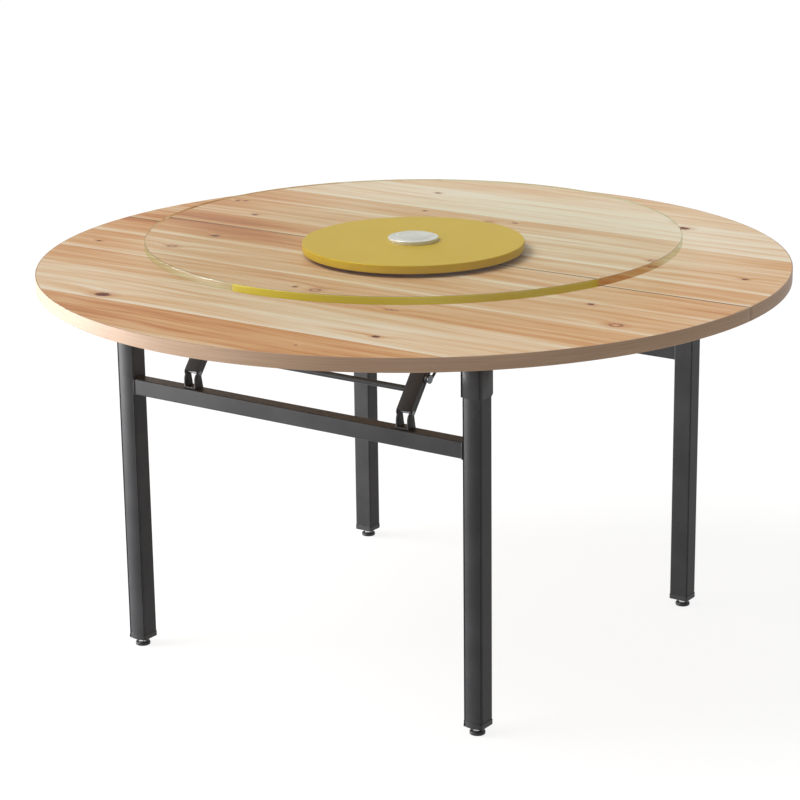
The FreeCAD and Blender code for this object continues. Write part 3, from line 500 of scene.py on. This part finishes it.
def powder_coat():
    """Black powder coat: a neutral near-black of soft gloss, with the orange peel of baked powder.

    The peel is drawn at 1.6 mm, twice the real one, so that it shows.
    """
    material, tree = finish("black_powder_coat")
    here = add(tree, "TexCoord").outputs["Object"]
    peel = add(tree, "TexNoise", {"Vector": here, "Scale": 1 / POWDER_PEEL, "Detail": 1})
    cloud = add(tree, "TexNoise", {"Vector": here, "Scale": POWDER_CLOUDS_PER_METRE, "Detail": 3})
    tone = add(tree, "ValToRGB", (cloud,), POWDER_TONES)
    gloss = add(tree, "MapRange", {"Value": cloud, "To Min": 0.34, "To Max": 0.42})
    relief = add(tree, "Bump", {"Height": peel, "Strength": 0.25, "Distance": 0.05 * MM})
    skin = add(tree, "BsdfPrincipled", {"Base Color": tone, "Roughness": gloss, "Normal": relief,
                                        "Specular IOR Level": 0.14})
    add(tree, "OutputMaterial", {"Surface": skin})
    return material


powder = powder_coat()
for node in RAILS:
    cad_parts[node].data.materials.clear()
    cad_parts[node].data.materials.append(powder)


# The legs: four lengths of 38 mm steel tube of a loaf section, cut square, with the bowed face
# outwards. Each pair is welded into a frame that folds under the top.
LEG_HALF = 19 * MM
LEG_BOW = 5 * MM
LEG_WALL = 1.5 * MM
LEG_CORNER = 2.4 * MM
CUT_EASE = 0.35 * MM
BOW_POINTS = 19
# On which side of the table each frame stands, along Y, and each of its legs, along X.
FRAMES = {"front": -1, "rear": 1}
HANDS = {"left": -1, "right": 1}
leg_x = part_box("front_leg_right")[0].x + LEG_HALF
leg_y = -(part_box("front_leg_right")[1].y - LEG_HALF)


def loaf(grow=0.0, corner=LEG_CORNER):
    """The leg's outline: flat back and sides, and a front that is an arc through its corners."""
    half = LEG_HALF + grow
    radius = (half ** 2 + LEG_BOW ** 2) / (2 * LEG_BOW)
    across = np.linspace(-half, half, BOW_POINTS)[1:-1]
    bowed = np.stack([across, radius - half - np.sqrt(radius ** 2 - across ** 2)], 1)
    foot = LEG_BOW - half
    sharp = np.vstack([[(half, half), (-half, half), (-half, foot)], bowed, [(half, foot)]])
    reach = np.zeros(len(sharp))
    reach[[0, 1, 2, -1]] = corner
    return eased(sharp, reach)


def normals(line, closed=True):
    """Unit normals to the right of a line in a plane, from its neighbours on both sides."""
    along = np.roll(line, -1, 0) - np.roll(line, 1, 0) if closed else np.gradient(line, axis=0)
    out = np.stack([along[:, 1], -along[:, 0]], 1)
    return out / np.linalg.norm(out, axis=1, keepdims=True)


def stacked(outline, path):
    """The outline repeated along a path of insets and heights."""
    ring = outline[None] - path[:, 0, None, None] * normals(outline)[None]
    height = np.broadcast_to(path[:, 1, None, None], ring.shape[:2] + (1,))
    return np.concatenate([ring, height], 2)


def wall_path(wall, low, high):
    """The closed path of a tube's wall: up its outside, over the cut end and down its inside."""
    return eased([(0, low), (0, high), (wall, high), (wall, low)], CUT_EASE, 2)


def set_down(grid, side, x=0.0, z=0.0):
    """Moves a shape drawn for the front frame to its place; the rear one is turned half round."""
    moved = grid + np.array((x, -leg_y, z))
    return moved if side < 0 else moved * np.array((-1, -1, 1))


for where, side in FRAMES.items():
    for hand, column in HANDS.items():
        low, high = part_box(f"{where}_leg_{hand}")
        tube = stacked(loaf(), wall_path(LEG_WALL, low.z, high.z))
        piece(f"leg_tube_{where}_{hand}", [(set_down(tube, side, -side * column * leg_x), True, True)],
              powder, f"{where}_frame", "black_steel", f"{where}_leg_{hand}")


# The crossbars: a 30 mm square steel tube between the inner faces of each pair of legs, with a weld
# bead all round each end, under the same black coat.
BAR_HALF = 15 * MM
BAR_WALL = 1.5 * MM
BAR_CORNER = 2.2 * MM
BEAD_RADIUS = 1.8 * MM
BEAD_STEP = 2.6 * MM
BEAD_SWELL = 0.16
BEAD_POINTS = 160
BEAD_SIDES = 10
bar_low, bar_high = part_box("front_crossbar")
bar_z = (bar_low.z + bar_high.z) / 2


def along_x(grid):
    """Lays a shape drawn upright down along X: its height becomes X and its outline Y and Z."""
    return grid[..., [2, 0, 1]]


def weld_bead(outline, height):
    """A ring round the outline whose round section swells and shrinks once every bead step."""
    closed = np.vstack([outline, outline[:1]])
    run = np.concatenate([[0], np.cumsum(np.linalg.norm(np.diff(closed, axis=0), axis=1))])
    places = np.linspace(0, run[-1], BEAD_POINTS, endpoint=False)
    line = np.stack([np.interp(places, run, closed[:, axis]) for axis in (0, 1)], 1)
    swell = BEAD_RADIUS * (1 + BEAD_SWELL * np.sin(2 * math.pi * places / BEAD_STEP))
    angle = np.linspace(0, 2 * math.pi, BEAD_SIDES, endpoint=False)
    ring = line[:, None] + normals(line)[:, None] * (swell[:, None] * np.cos(angle))[..., None]
    lift = height + swell[:, None] * np.sin(angle)
    return np.concatenate([ring, lift[..., None]], 2)


bar_outline = eased([(BAR_HALF, BAR_HALF), (-BAR_HALF, BAR_HALF), (-BAR_HALF, -BAR_HALF),
                     (BAR_HALF, -BAR_HALF)], BAR_CORNER)
for where, side in FRAMES.items():
    tube = along_x(stacked(bar_outline, wall_path(BAR_WALL, bar_low.x, bar_high.x)))
    piece(f"crossbar_tube_{where}", [(set_down(tube, side, 0, bar_z), True, True)], powder,
          f"{where}_frame", "black_steel", f"{where}_crossbar")
    beads = [along_x(weld_bead(bar_outline, end)) for end in (bar_low.x, bar_high.x)]
    piece(f"weld_beads_{where}", [(set_down(bead, side, 0, bar_z), True, True) for bead in beads],
          powder, f"{where}_frame", "black_steel")


# The hinge housings: a pressed shell of 2 mm steel round each leg's head, open towards the middle,
# under a flat plate that is screwed to the side rail. Its lower inner corners are cut at 45 degrees.
HOUSING_GAP = 0.4 * MM
HOUSING_WALL = 2 * MM
HOUSING_CORNER = 3.2 * MM
HOUSING_EASE = 0.4 * MM
HOUSING_CUT = 4 * MM
PLATE_HALF_WIDTH = 30 * MM
PLATE_DEPTH = 54 * MM
PLATE_CORNER = 4 * MM
PLATE_FACE_INSET = 2 * MM
housing_grow = HOUSING_GAP + HOUSING_WALL
housing_half = LEG_HALF + housing_grow


def housing_shell(low, high):
    """The wall's section carried along the loaf outline from one inner edge round the bow to the other.

    Towards the inner edges its lower end rises at 45 degrees.
    """
    inner = [LEG_HALF, LEG_HALF - HOUSING_CUT]
    line = loaf(housing_grow, HOUSING_CORNER)
    line = np.vstack([[(-housing_half, y) for y in inner], line[line[:, 1] < 0],
                      [(housing_half, y) for y in inner[::-1]]])
    deep, tall = HOUSING_WALL - HOUSING_EASE, high - low
    inset = np.array([0, 0, HOUSING_EASE, deep, HOUSING_WALL, HOUSING_WALL, deep, HOUSING_EASE])
    rise = np.array([HOUSING_EASE, tall, tall, tall, tall, HOUSING_EASE, 0, 0])
    cut = np.clip(line[:, 1] - inner[1], 0, None)[:, None]
    height = low + np.where(rise < tall, rise + cut, rise)
    ring = line[:, None] - normals(line, closed=False)[:, None] * inset[None, :, None]
    return drawn_in(np.concatenate([ring, height[..., None]], 2))


plate_outline = eased([(PLATE_HALF_WIDTH, PLATE_DEPTH - housing_half),
                       (-PLATE_HALF_WIDTH, PLATE_DEPTH - housing_half),
                       (-PLATE_HALF_WIDTH, -housing_half), (PLATE_HALF_WIDTH, -housing_half)], PLATE_CORNER)
for where, side in FRAMES.items():
    for hand, column in HANDS.items():
        name = f"housing_{where}_{hand}"
        low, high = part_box(name)
        under = high.z - HOUSING_WALL
        plate_path = eased([(PLATE_FACE_INSET, under), (0, under), (0, high.z), (PLATE_FACE_INSET, high.z)],
                           CUT_EASE, 2, closed=False)
        shell = housing_shell(low.z, high.z - HOUSING_WALL / 2)
        plate = drawn_in(stacked(plate_outline, plate_path))
        grids = [(set_down(grid, side, -side * column * leg_x), False, True) for grid in (shell, plate)]
        piece(f"hinge_{name}", grids, powder, "root", "black_steel", name)


# The small parts of the hinges and braces: the blocks in the leg heads, and the braces' lugs, arms
# and brackets, cut and pressed from steel and powder-coated. Here they get their eased edges.
FLAT_ANGLE = math.radians(2)
EDGE_ANGLE = math.radians(40)
MERGE_REACH = 0.01 * MM


def softened(node, width, material, body, slot):
    """A merged copy of a node whose edges are rounded by a bevel of the given width."""
    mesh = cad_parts[node].data.copy()
    work = bmesh.new()
    work.from_mesh(mesh)
    bmesh.ops.remove_doubles(work, verts=work.verts, dist=MERGE_REACH)
    bmesh.ops.dissolve_limit(work, angle_limit=FLAT_ANGLE, verts=work.verts, edges=work.edges)
    work.to_mesh(mesh)
    work.free()
    mesh.shade_smooth()
    made = bpy.data.objects.new(f"{node}_eased", mesh)
    scene.collection.objects.link(made)
    bevel = made.modifiers.new("eased_edges", "BEVEL")
    bevel.width = width
    bevel.segments = 2
    bevel.limit_method = "ANGLE"
    bevel.angle_limit = EDGE_ANGLE
    bevel.harden_normals = True
    dress(made, material, body, slot, node)


for where in FRAMES:
    softened(f"{where}_hinge_blocks", 0.8 * MM, powder, f"{where}_frame", "black_steel")
    softened(f"{where}_brace_lugs", 0.4 * MM, powder, f"{where}_frame", "black_steel")
    for hand in HANDS:
        softened(f"{where}_lower_arm_{hand}", 0.5 * MM, powder, f"{where}_lower_arms", "black_steel")
        softened(f"{where}_upper_arm_{hand}", 0.4 * MM, powder, f"{where}_{hand}_upper_arm", "black_steel")
softened("brace_brackets", 0.4 * MM, powder, "root", "black_steel")


# Pins, bolts and screws, and the turntable's plate and ball race: zinc-plated steel, bright but
# slightly grey. The screws, the plate and the race hardly show and keep their plain meshes.
ZINC_CLOUDS_PER_METRE = 300
PLAIN_ZINC = ("fixing_screws", "turntable_base", "turntable_lower_race", "turntable_upper_race",
              "turntable_balls")


def zinc_plate(name, dull, clean, roughness):
    """Zinc plate: a bright grey metal with a faint cloudiness, 3 mm across, from the plating bath."""
    material, tree = finish(name)
    here = add(tree, "TexCoord").outputs["Object"]
    cloud = add(tree, "TexNoise", {"Vector": here, "Scale": ZINC_CLOUDS_PER_METRE, "Detail": 2})
    tone = add(tree, "ValToRGB", (cloud,), [(0.3, dull), (0.7, clean)])
    gloss = add(tree, "MapRange", {"Value": cloud, "To Min": roughness - 0.06, "To Max": roughness + 0.06})
    skin = add(tree, "BsdfPrincipled", {"Base Color": tone, "Metallic": 1.0, "Roughness": gloss})
    add(tree, "OutputMaterial", {"Surface": skin})
    return material


zinc = zinc_plate("zinc_plated_steel", "#5F6163", "#737577", 0.4)
softened("hinge_bolts", 0.9 * MM, zinc, "root", "zinc_steel")
softened("bracket_pins", 0.7 * MM, zinc, "root", "zinc_steel")
for where in FRAMES:
    softened(f"{where}_lug_pins", 0.7 * MM, zinc, f"{where}_frame", "zinc_steel")
    softened(f"{where}_knee_pins", 0.7 * MM, zinc, f"{where}_lower_arms", "zinc_steel")
for node in PLAIN_ZINC:
    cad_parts[node].data.materials.clear()
    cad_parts[node].data.materials.append(zinc)


# The pull rods: a round steel bar ties the two lower arms of each frame and is coated with them.
# Pulling one frees both braces.
ROD_EASE = 0.5 * MM


def turned(path, segments):
    """A path of radii and heights turned about the upright axis."""
    angle = np.linspace(0, 2 * math.pi, segments, endpoint=False)
    radius, height = path[:, 0, None], path[:, 1, None]
    return np.stack(np.broadcast_arrays(radius * np.cos(angle), radius * np.sin(angle), height), -1)


for where in FRAMES:
    low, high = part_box(f"{where}_pull_rod")
    radius = (high.z - low.z) / 2
    rod_path = eased([(0, low.x), (radius, low.x), (radius, high.x), (0, high.x)], ROD_EASE, 3, closed=False)
    rod = along_x(turned(rod_path, segments=40)) + np.array((0, (low.y + high.y) / 2, (low.z + high.z) / 2))
    piece(f"pull_bar_{where}", [(rod, False, True)], powder, f"{where}_lower_arms", "black_steel",
          f"{where}_pull_rod")


# The feet: a moulded black cap closes each leg and holds a zinc-plated screw glide with a bright
# collar, which stands on a moulded black pad.
CAP_GROW = 0.8 * MM
CAP_HEIGHT = 10 * MM
CAP_CORNER = 3 * MM
CAP_RIM = 3 * MM
CAP_EASE = 1.2 * MM
CAP_LIP_EASE = 0.3 * MM
CAP_FLOOR = 2 * MM
STEM_HOLE = 4.1 * MM
STEM_RADIUS = 4 * MM
STEM_END_EASE = 0.5 * MM
COLLAR_RADIUS = 8 * MM
COLLAR_EASE = 0.8 * MM
COLLAR_GAP = 0.1 * MM
PAD_SOLE_EASE = 1.4 * MM
PAD_SHOULDER_EASE = 2 * MM
MOULD_GRAIN = 0.8 * MM
PLASTIC_TONES = [(0.3, "#161515"), (0.7, "#1E1D1D")]


def moulded_plastic():
    """Black polypropylene: matt, with the fine even grain of a spark-eroded mould."""
    material, tree = finish("black_moulded_plastic")
    here = add(tree, "TexCoord").outputs["Object"]
    grain = add(tree, "TexNoise", {"Vector": here, "Scale": 1 / MOULD_GRAIN, "Detail": 2})
    tone = add(tree, "ValToRGB", (grain,), PLASTIC_TONES)
    relief = add(tree, "Bump", {"Height": grain, "Strength": 0.3, "Distance": 0.04 * MM})
    skin = add(tree, "BsdfPrincipled", {"Base Color": tone, "Roughness": 0.5, "Normal": relief})
    add(tree, "OutputMaterial", {"Surface": skin})
    return material


def level(line, height):
    """A line of points at one height, as a row of a grid."""
    return np.column_stack([line, np.full(len(line), height)])[None]


plastic = moulded_plastic()
bright_zinc = zinc_plate("bright_zinc_glide", "#C2C5C8", "#DADCDE", 0.2)
cap_outline = loaf(CAP_GROW, CAP_CORNER)
cap_angle = np.arctan2(cap_outline[:, 1], cap_outline[:, 0])
cap_hole = STEM_HOLE * np.stack([np.cos(cap_angle), np.sin(cap_angle)], 1)
cap_inside = cap_outline - (CAP_GROW + LEG_WALL) * normals(cap_outline)
for where, side in FRAMES.items():
    cap_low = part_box(f"{where}_leg_caps")[0].z
    cap_high, cap_floor = cap_low + CAP_HEIGHT, cap_low + CAP_FLOOR
    skirt = eased([(CAP_RIM, cap_low), (0, cap_low), (0, cap_high), (CAP_GROW, cap_high)],
                  (0, CAP_EASE, CAP_LIP_EASE, 0), 3, closed=False)
    cap = np.concatenate([level(cap_hole, cap_floor), level(cap_hole, cap_low), stacked(cap_outline, skirt),
                          level(cap_inside, cap_floor)])
    caps = [(set_down(cap, side, column * leg_x), True, True) for column in HANDS.values()]
    piece(f"leg_caps_{where}", caps, plastic, f"{where}_frame", "black_plastic", f"{where}_leg_caps")
    for hand, column in HANDS.items():
        low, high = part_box(f"glide_pad_{where}_{hand}")
        pad_radius = (high.x - low.x) / 2
        pad_path = eased([(0, low.z), (pad_radius, low.z), (pad_radius, high.z), (0, high.z)],
                         (0, PAD_SOLE_EASE, PAD_SHOULDER_EASE, 0), 4, closed=False)
        pad = set_down(turned(pad_path, segments=64), side, -side * column * leg_x)
        piece(f"glide_foot_{where}_{hand}", [(pad, False, True)], plastic, f"{where}_{hand}_glide",
              "black_plastic", f"glide_pad_{where}_{hand}")
        stem_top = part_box(f"glide_screw_{where}_{hand}")[1].z
        collar_top = cap_low - COLLAR_GAP
        stem_path = eased([(0, high.z), (COLLAR_RADIUS, high.z), (COLLAR_RADIUS, collar_top),
                           (STEM_RADIUS, collar_top), (STEM_RADIUS, stem_top), (0, stem_top)],
                          (0, COLLAR_EASE, COLLAR_EASE, 0, STEM_END_EASE, 0), 3, closed=False)
        stem = set_down(turned(stem_path, segments=48), side, -side * column * leg_x)
        piece(f"glide_stem_{where}_{hand}", [(stem, False, True)], bright_zinc, f"{where}_{hand}_glide",
              "bright_steel", f"glide_screw_{where}_{hand}")


# The turntable's feet: six moulded rubber buttons that carry its zinc plate and ball race and keep
# them from sliding on the lacquered top.
FOOT_COUNT = 6
FOOT_RING = 108 * MM
FOOT_RADIUS = 9 * MM
FOOT_EASE = 0.5 * MM
DUST_SPOTS_PER_METRE = 260
RUBBER_TONES = [(0.35, "#1B1B1B"), (0.7, "#282726")]


def foot_rubber():
    """Moulded black rubber: dull, and faintly dusty in spots of 4 mm."""
    material, tree = finish("black_foot_rubber")
    here = add(tree, "TexCoord").outputs["Object"]
    dust = add(tree, "TexNoise", {"Vector": here, "Scale": DUST_SPOTS_PER_METRE, "Detail": 3})
    tone = add(tree, "ValToRGB", (dust,), RUBBER_TONES)
    skin = add(tree, "BsdfPrincipled", {"Base Color": tone, "Roughness": 0.7})
    add(tree, "OutputMaterial", {"Surface": skin})
    return material


foot_low, foot_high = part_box("turntable_feet")
foot_path = eased([(0, foot_low.z), (FOOT_RADIUS, foot_low.z), (FOOT_RADIUS, foot_high.z), (0, foot_high.z)],
                  FOOT_EASE, 3, closed=False)
foot = turned(foot_path, segments=32)
angles = [2 * math.pi * index / FOOT_COUNT for index in range(FOOT_COUNT)]
feet = [(foot + FOOT_RING * np.array((math.cos(angle), math.sin(angle), 0)), False, True) for angle in angles]
piece("turntable_rubber_feet", feet, foot_rubber(), "root", "rubber", "turntable_feet")


# The turntable's disc: turned board 15 mm thick under a satin gold lacquer, hollowed below for the
# ball race, with a softly rounded rim.
DISC_EASE = 1.4 * MM
RECESS_RADIUS = 96 * MM
RECESS_DEPTH = 7 * MM
RECESS_EASE = 0.5 * MM
FLAKE_SIZE = 1.2 * MM
# The lacquer's tone varies a little in clouds 110 mm wide.
GOLD_CLOUDS_PER_METRE = 9
GOLD_TONES = [(0.3, "#C7A51C"), (0.7, "#D0AE28")]


def gold_lacquer():
    """Satin gold lacquer: a strong yellow with a fine metal flake in it, so mostly paint, a little metal.

    The flake is drawn at 1.2 mm, coarser than the real one, so that it shows.
    """
    material, tree = finish("satin_gold_lacquer")
    here = add(tree, "TexCoord").outputs["Object"]
    flake = add(tree, "TexNoise", {"Vector": here, "Scale": 1 / FLAKE_SIZE, "Detail": 2})
    cloud = add(tree, "TexNoise", {"Vector": here, "Scale": GOLD_CLOUDS_PER_METRE, "Detail": 2})
    cloudy = add(tree, "Math", (cloud, 0.6), operation="MULTIPLY")
    both = add(tree, "Math", (flake, 0.4, cloudy), operation="MULTIPLY_ADD")
    tone = add(tree, "ValToRGB", (both,), GOLD_TONES)
    gloss = add(tree, "MapRange", {"Value": flake, "To Min": 0.3, "To Max": 0.42})
    skin = add(tree, "BsdfPrincipled", {"Base Color": tone, "Metallic": 0.1, "Roughness": gloss,
                                        "Specular IOR Level": 0.03})
    add(tree, "OutputMaterial", {"Surface": skin})
    return material


disc_low, disc_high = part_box("turntable_disc")
recess_top = disc_low.z + RECESS_DEPTH
disc_path = eased([(0, recess_top), (RECESS_RADIUS, recess_top), (RECESS_RADIUS, disc_low.z),
                   (disc_high.x, disc_low.z), (disc_high.x, disc_high.z), (0, disc_high.z)],
                  (0, RECESS_EASE, RECESS_EASE, DISC_EASE, DISC_EASE, 0), 5, closed=False)
piece("gold_disc", [(turned(disc_path, segments=256), False, True)], gold_lacquer(), "turntable",
      "gold_lacquer", "turntable_disc")


# The hub: an aluminium boss turned on a lathe, with a shallow dish in its face, finely brushed round
# and round. It stands on the disc and carries the glass.
HUB_DISH = 42 * MM
HUB_DISH_RUN = 2 * MM
HUB_DISH_DEPTH = 0.8 * MM
HUB_FOOT_EASE = 0.3 * MM
HUB_RIM_EASE = 1.2 * MM
HUB_DISH_EASE = 0.4 * MM
SCRATCHES_PER_MM = 2
HUB_TONES = [(0.3, "#BDBAB5"), (0.7, "#DAD7D2")]


def turned_aluminium():
    """Turned and brushed aluminium: rings of fine scratches about the axis, 0.5 mm apart."""
    material, tree = finish("turned_brushed_aluminium")
    here = add(tree, "TexCoord").outputs["Object"]
    place = add(tree, "Mapping", {"Vector": here, "Scale": (1 / MM, 1 / MM, 1 / MM)})
    axes = add(tree, "SeparateXYZ", (place,))
    squares = [add(tree, "Math", (axes.outputs[axis], 2), operation="POWER") for axis in (0, 1)]
    radius = add(tree, "Math", (add(tree, "Math", squares, operation="ADD"),), operation="SQRT")
    ring_place = add(tree, "Math", (radius, SCRATCHES_PER_MM), operation="MULTIPLY")
    ring_vector = add(tree, "CombineXYZ", {"X": ring_place, "Z": axes.outputs[2]})
    rings = add(tree, "TexNoise", {"Vector": ring_vector, "Scale": 1, "Detail": 3})
    tone = add(tree, "ValToRGB", (rings,), HUB_TONES)
    gloss = add(tree, "MapRange", {"Value": rings, "To Min": 0.3, "To Max": 0.46})
    relief = add(tree, "Bump", {"Height": rings, "Strength": 0.2, "Distance": 0.05 * MM})
    skin = add(tree, "BsdfPrincipled", {"Base Color": tone, "Metallic": 1.0, "Roughness": gloss,
                                        "Normal": relief})
    add(tree, "OutputMaterial", {"Surface": skin})
    return material


hub_low, hub_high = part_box("turntable_hub")
dish_floor = hub_high.z - HUB_DISH_DEPTH
hub_path = eased([(0, hub_low.z), (hub_high.x, hub_low.z), (hub_high.x, hub_high.z), (HUB_DISH, hub_high.z),
                  (HUB_DISH - HUB_DISH_RUN, dish_floor), (0, dish_floor)],
                 (0, HUB_FOOT_EASE, HUB_RIM_EASE, HUB_DISH_EASE, HUB_DISH_EASE, 0), 4, closed=False)
piece("brushed_hub", [(turned(hub_path, segments=128), False, True)], turned_aluminium(), "turntable",
      "brushed_hub", "turntable_hub")


# The glass: a clear toughened plate 14 mm thick and a metre across, its rim ground and polished,
# resting on a clear silicone pad on the hub.
# The pad is drawn a hair short of the hub and of the glass, so that no two faces lie in one plane.
PAD_GAP = 0.1 * MM
PAD_EASE = 0.4 * MM
SILICONE = "#F2F2EE"
GLASS_EASE = 1.2 * MM
GLASS_INDEX = 1.5
GLASS_CLEAR = "#FDFEFD"
GLASS_STRAIGHT = "#FBFCFA"
# Most of a face only bends the view, so that the room's reflection in it stays faint.
GLASS_BEND_SHARE = 0.94
RIM_POLISH_SHARE = 0.06
RIM_CLOUDS_PER_METRE = 3
# Where the rim is painted with the gold of the disc, a painted reflection that stands in for the disc
# seen through the rim: the middle of the arc from -Y towards +X, half its width, and how far it fades,
# in degrees. The tints go round the rest of the rim once, from +Y by way of -X: a green tinge, and
# beside the gold a short arc of painted brown that stands in for the wood seen through the rim.
PAINTED_GOLD_ARC_MIDDLE = 35
PAINTED_GOLD_ARC_HALF = 38.5
PAINTED_GOLD_ARC_FADE = 1
PAINTED_GOLD_REFLECTION_TONES = [(0.35, "#BFAE1E"), (0.65, "#CDBC2C")]
RIM_TINTS_AND_PAINTED_WOOD_REFLECTION = [(0.0, "#E6EEDF"), (0.702, "#E6EEDF"), (0.703, "#B98A5C"), (0.745, "#CFAE86"),
             (0.785, "#E6EEDF")]
glass_low, glass_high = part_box("turntable_glass")
pad_low, pad_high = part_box("turntable_glass_pad")


def toughened_glass():
    """Clear float glass: its faces bend what lies under them and mirror a little of the room.

    The rim is see-through with a green tinge, but for an arc painted with the gold of the disc and,
    beside it at the right, a short one painted with the brown of the wood: painted reflections that
    stand in for the disc and the wood seen through the rim.
    Lamps shine through, and a view that came in through the rim goes straight on.
    """
    material, tree = finish("clear_toughened_glass")
    body = add(tree, "BsdfPrincipled", {"Base Color": GLASS_CLEAR, "IOR": GLASS_INDEX, "Roughness": 0.0,
                                        "Transmission Weight": 1.0})
    bend = add(tree, "BsdfRefraction", {"Color": GLASS_CLEAR, "IOR": GLASS_INDEX, "Roughness": 0.0})
    face = add(tree, "MixShader", (GLASS_BEND_SHARE, body, bend))

    here = add(tree, "TexCoord").outputs["Object"]
    axes = add(tree, "SeparateXYZ", (here,))
    x, y = axes.outputs[0], axes.outputs[1]
    squares = [add(tree, "Math", (axis, 2), operation="POWER") for axis in (x, y)]
    radius = add(tree, "Math", (add(tree, "Math", squares, operation="ADD"),), operation="SQRT")
    on_rim = add(tree, "Math", (radius, glass_high.x - GLASS_EASE / 2), operation="GREATER_THAN")
    front = add(tree, "Math", (y, -1), operation="MULTIPLY")
    radians = add(tree, "Math", (x, front), operation="ARCTAN2")
    turn = add(tree, "Math", (radians, 180 / math.pi), operation="MULTIPLY")
    past = add(tree, "Math", (turn, PAINTED_GOLD_ARC_MIDDLE), operation="SUBTRACT")
    off = add(tree, "Math", (past,), operation="ABSOLUTE")
    # Painted reflection: along the arc nine tenths of the rim, and elsewhere a twentieth, is the gold of the
    # disc laid on as a matt colour.
    arc = add(tree, "MapRange", {"Value": off, "From Min": PAINTED_GOLD_ARC_HALF + PAINTED_GOLD_ARC_FADE,
                                 "From Max": PAINTED_GOLD_ARC_HALF, "To Min": 0.05, "To Max": 0.9})
    cloud = add(tree, "TexNoise", {"Vector": here, "Scale": RIM_CLOUDS_PER_METRE, "Detail": 1})
    gold = add(tree, "ValToRGB", (cloud,), PAINTED_GOLD_REFLECTION_TONES)
    painted_gold_reflection = add(tree, "BsdfDiffuse", {"Color": gold})
    # The rim's see-through colour: a green tinge all round, but for a short arc of painted brown, a painted
    # reflection of the wood.
    around = add(tree, "Math", (turn, 1 / 360, 0.5), operation="MULTIPLY_ADD")
    rim_tint_and_painted_wood_reflection = add(tree, "ValToRGB", (around,), RIM_TINTS_AND_PAINTED_WOOD_REFLECTION)
    clear_rim = add(tree, "BsdfTransparent", {"Color": rim_tint_and_painted_wood_reflection})
    rim = add(tree, "MixShader", (arc, clear_rim, painted_gold_reflection))
    polish = add(tree, "BsdfAnisotropic", {"Color": WHITE, "Roughness": 0.2})
    polished_rim = add(tree, "MixShader", (RIM_POLISH_SHARE, rim, polish))
    whole = add(tree, "MixShader", (on_rim, face, polished_rim))

    path = add(tree, "LightPath")
    passed = add(tree, "Math", (path.outputs["Transparent Depth"], 1), operation="MINIMUM")
    off_rim = add(tree, "Math", (1, on_rim), operation="SUBTRACT")
    inside = add(tree, "Math", (passed, off_rim), operation="MULTIPLY")
    light = add(tree, "Math", (path.outputs["Is Shadow Ray"], path.outputs["Is Diffuse Ray"]),
                operation="MAXIMUM")
    straight = add(tree, "Math", (light, inside), operation="MAXIMUM")
    window = add(tree, "BsdfTransparent", {"Color": GLASS_STRAIGHT})
    ended = add(tree, "MixShader", (straight, whole, window))
    add(tree, "OutputMaterial", {"Surface": ended})
    return material


def clear_silicone():
    """Soft clear silicone: it takes the glass without a trace of air, so little but its edge shows."""
    material, tree = finish("clear_silicone")
    skin = add(tree, "BsdfPrincipled", {"Base Color": SILICONE, "Roughness": 0.2, "Alpha": 0.12})
    add(tree, "OutputMaterial", {"Surface": skin})
    return material


pad_under, pad_top = pad_low.z + PAD_GAP, pad_high.z - PAD_GAP
pad_path = eased([(0, pad_under), (pad_high.x, pad_under), (pad_high.x, pad_top), (0, pad_top)],
                 PAD_EASE, 3, closed=False)
piece("clear_pad", [(turned(pad_path, segments=96), False, True)], clear_silicone(), "turntable",
      "clear_pad", "turntable_glass_pad")
glass_path = eased([(0, glass_low.z), (glass_high.x, glass_low.z), (glass_high.x, glass_high.z),
                    (0, glass_high.z)], GLASS_EASE, 4, closed=False)
piece("glass_plate", [(turned(glass_path, segments=384), False, True)], toughened_glass(), "turntable",
      "clear_glass", "turntable_glass")
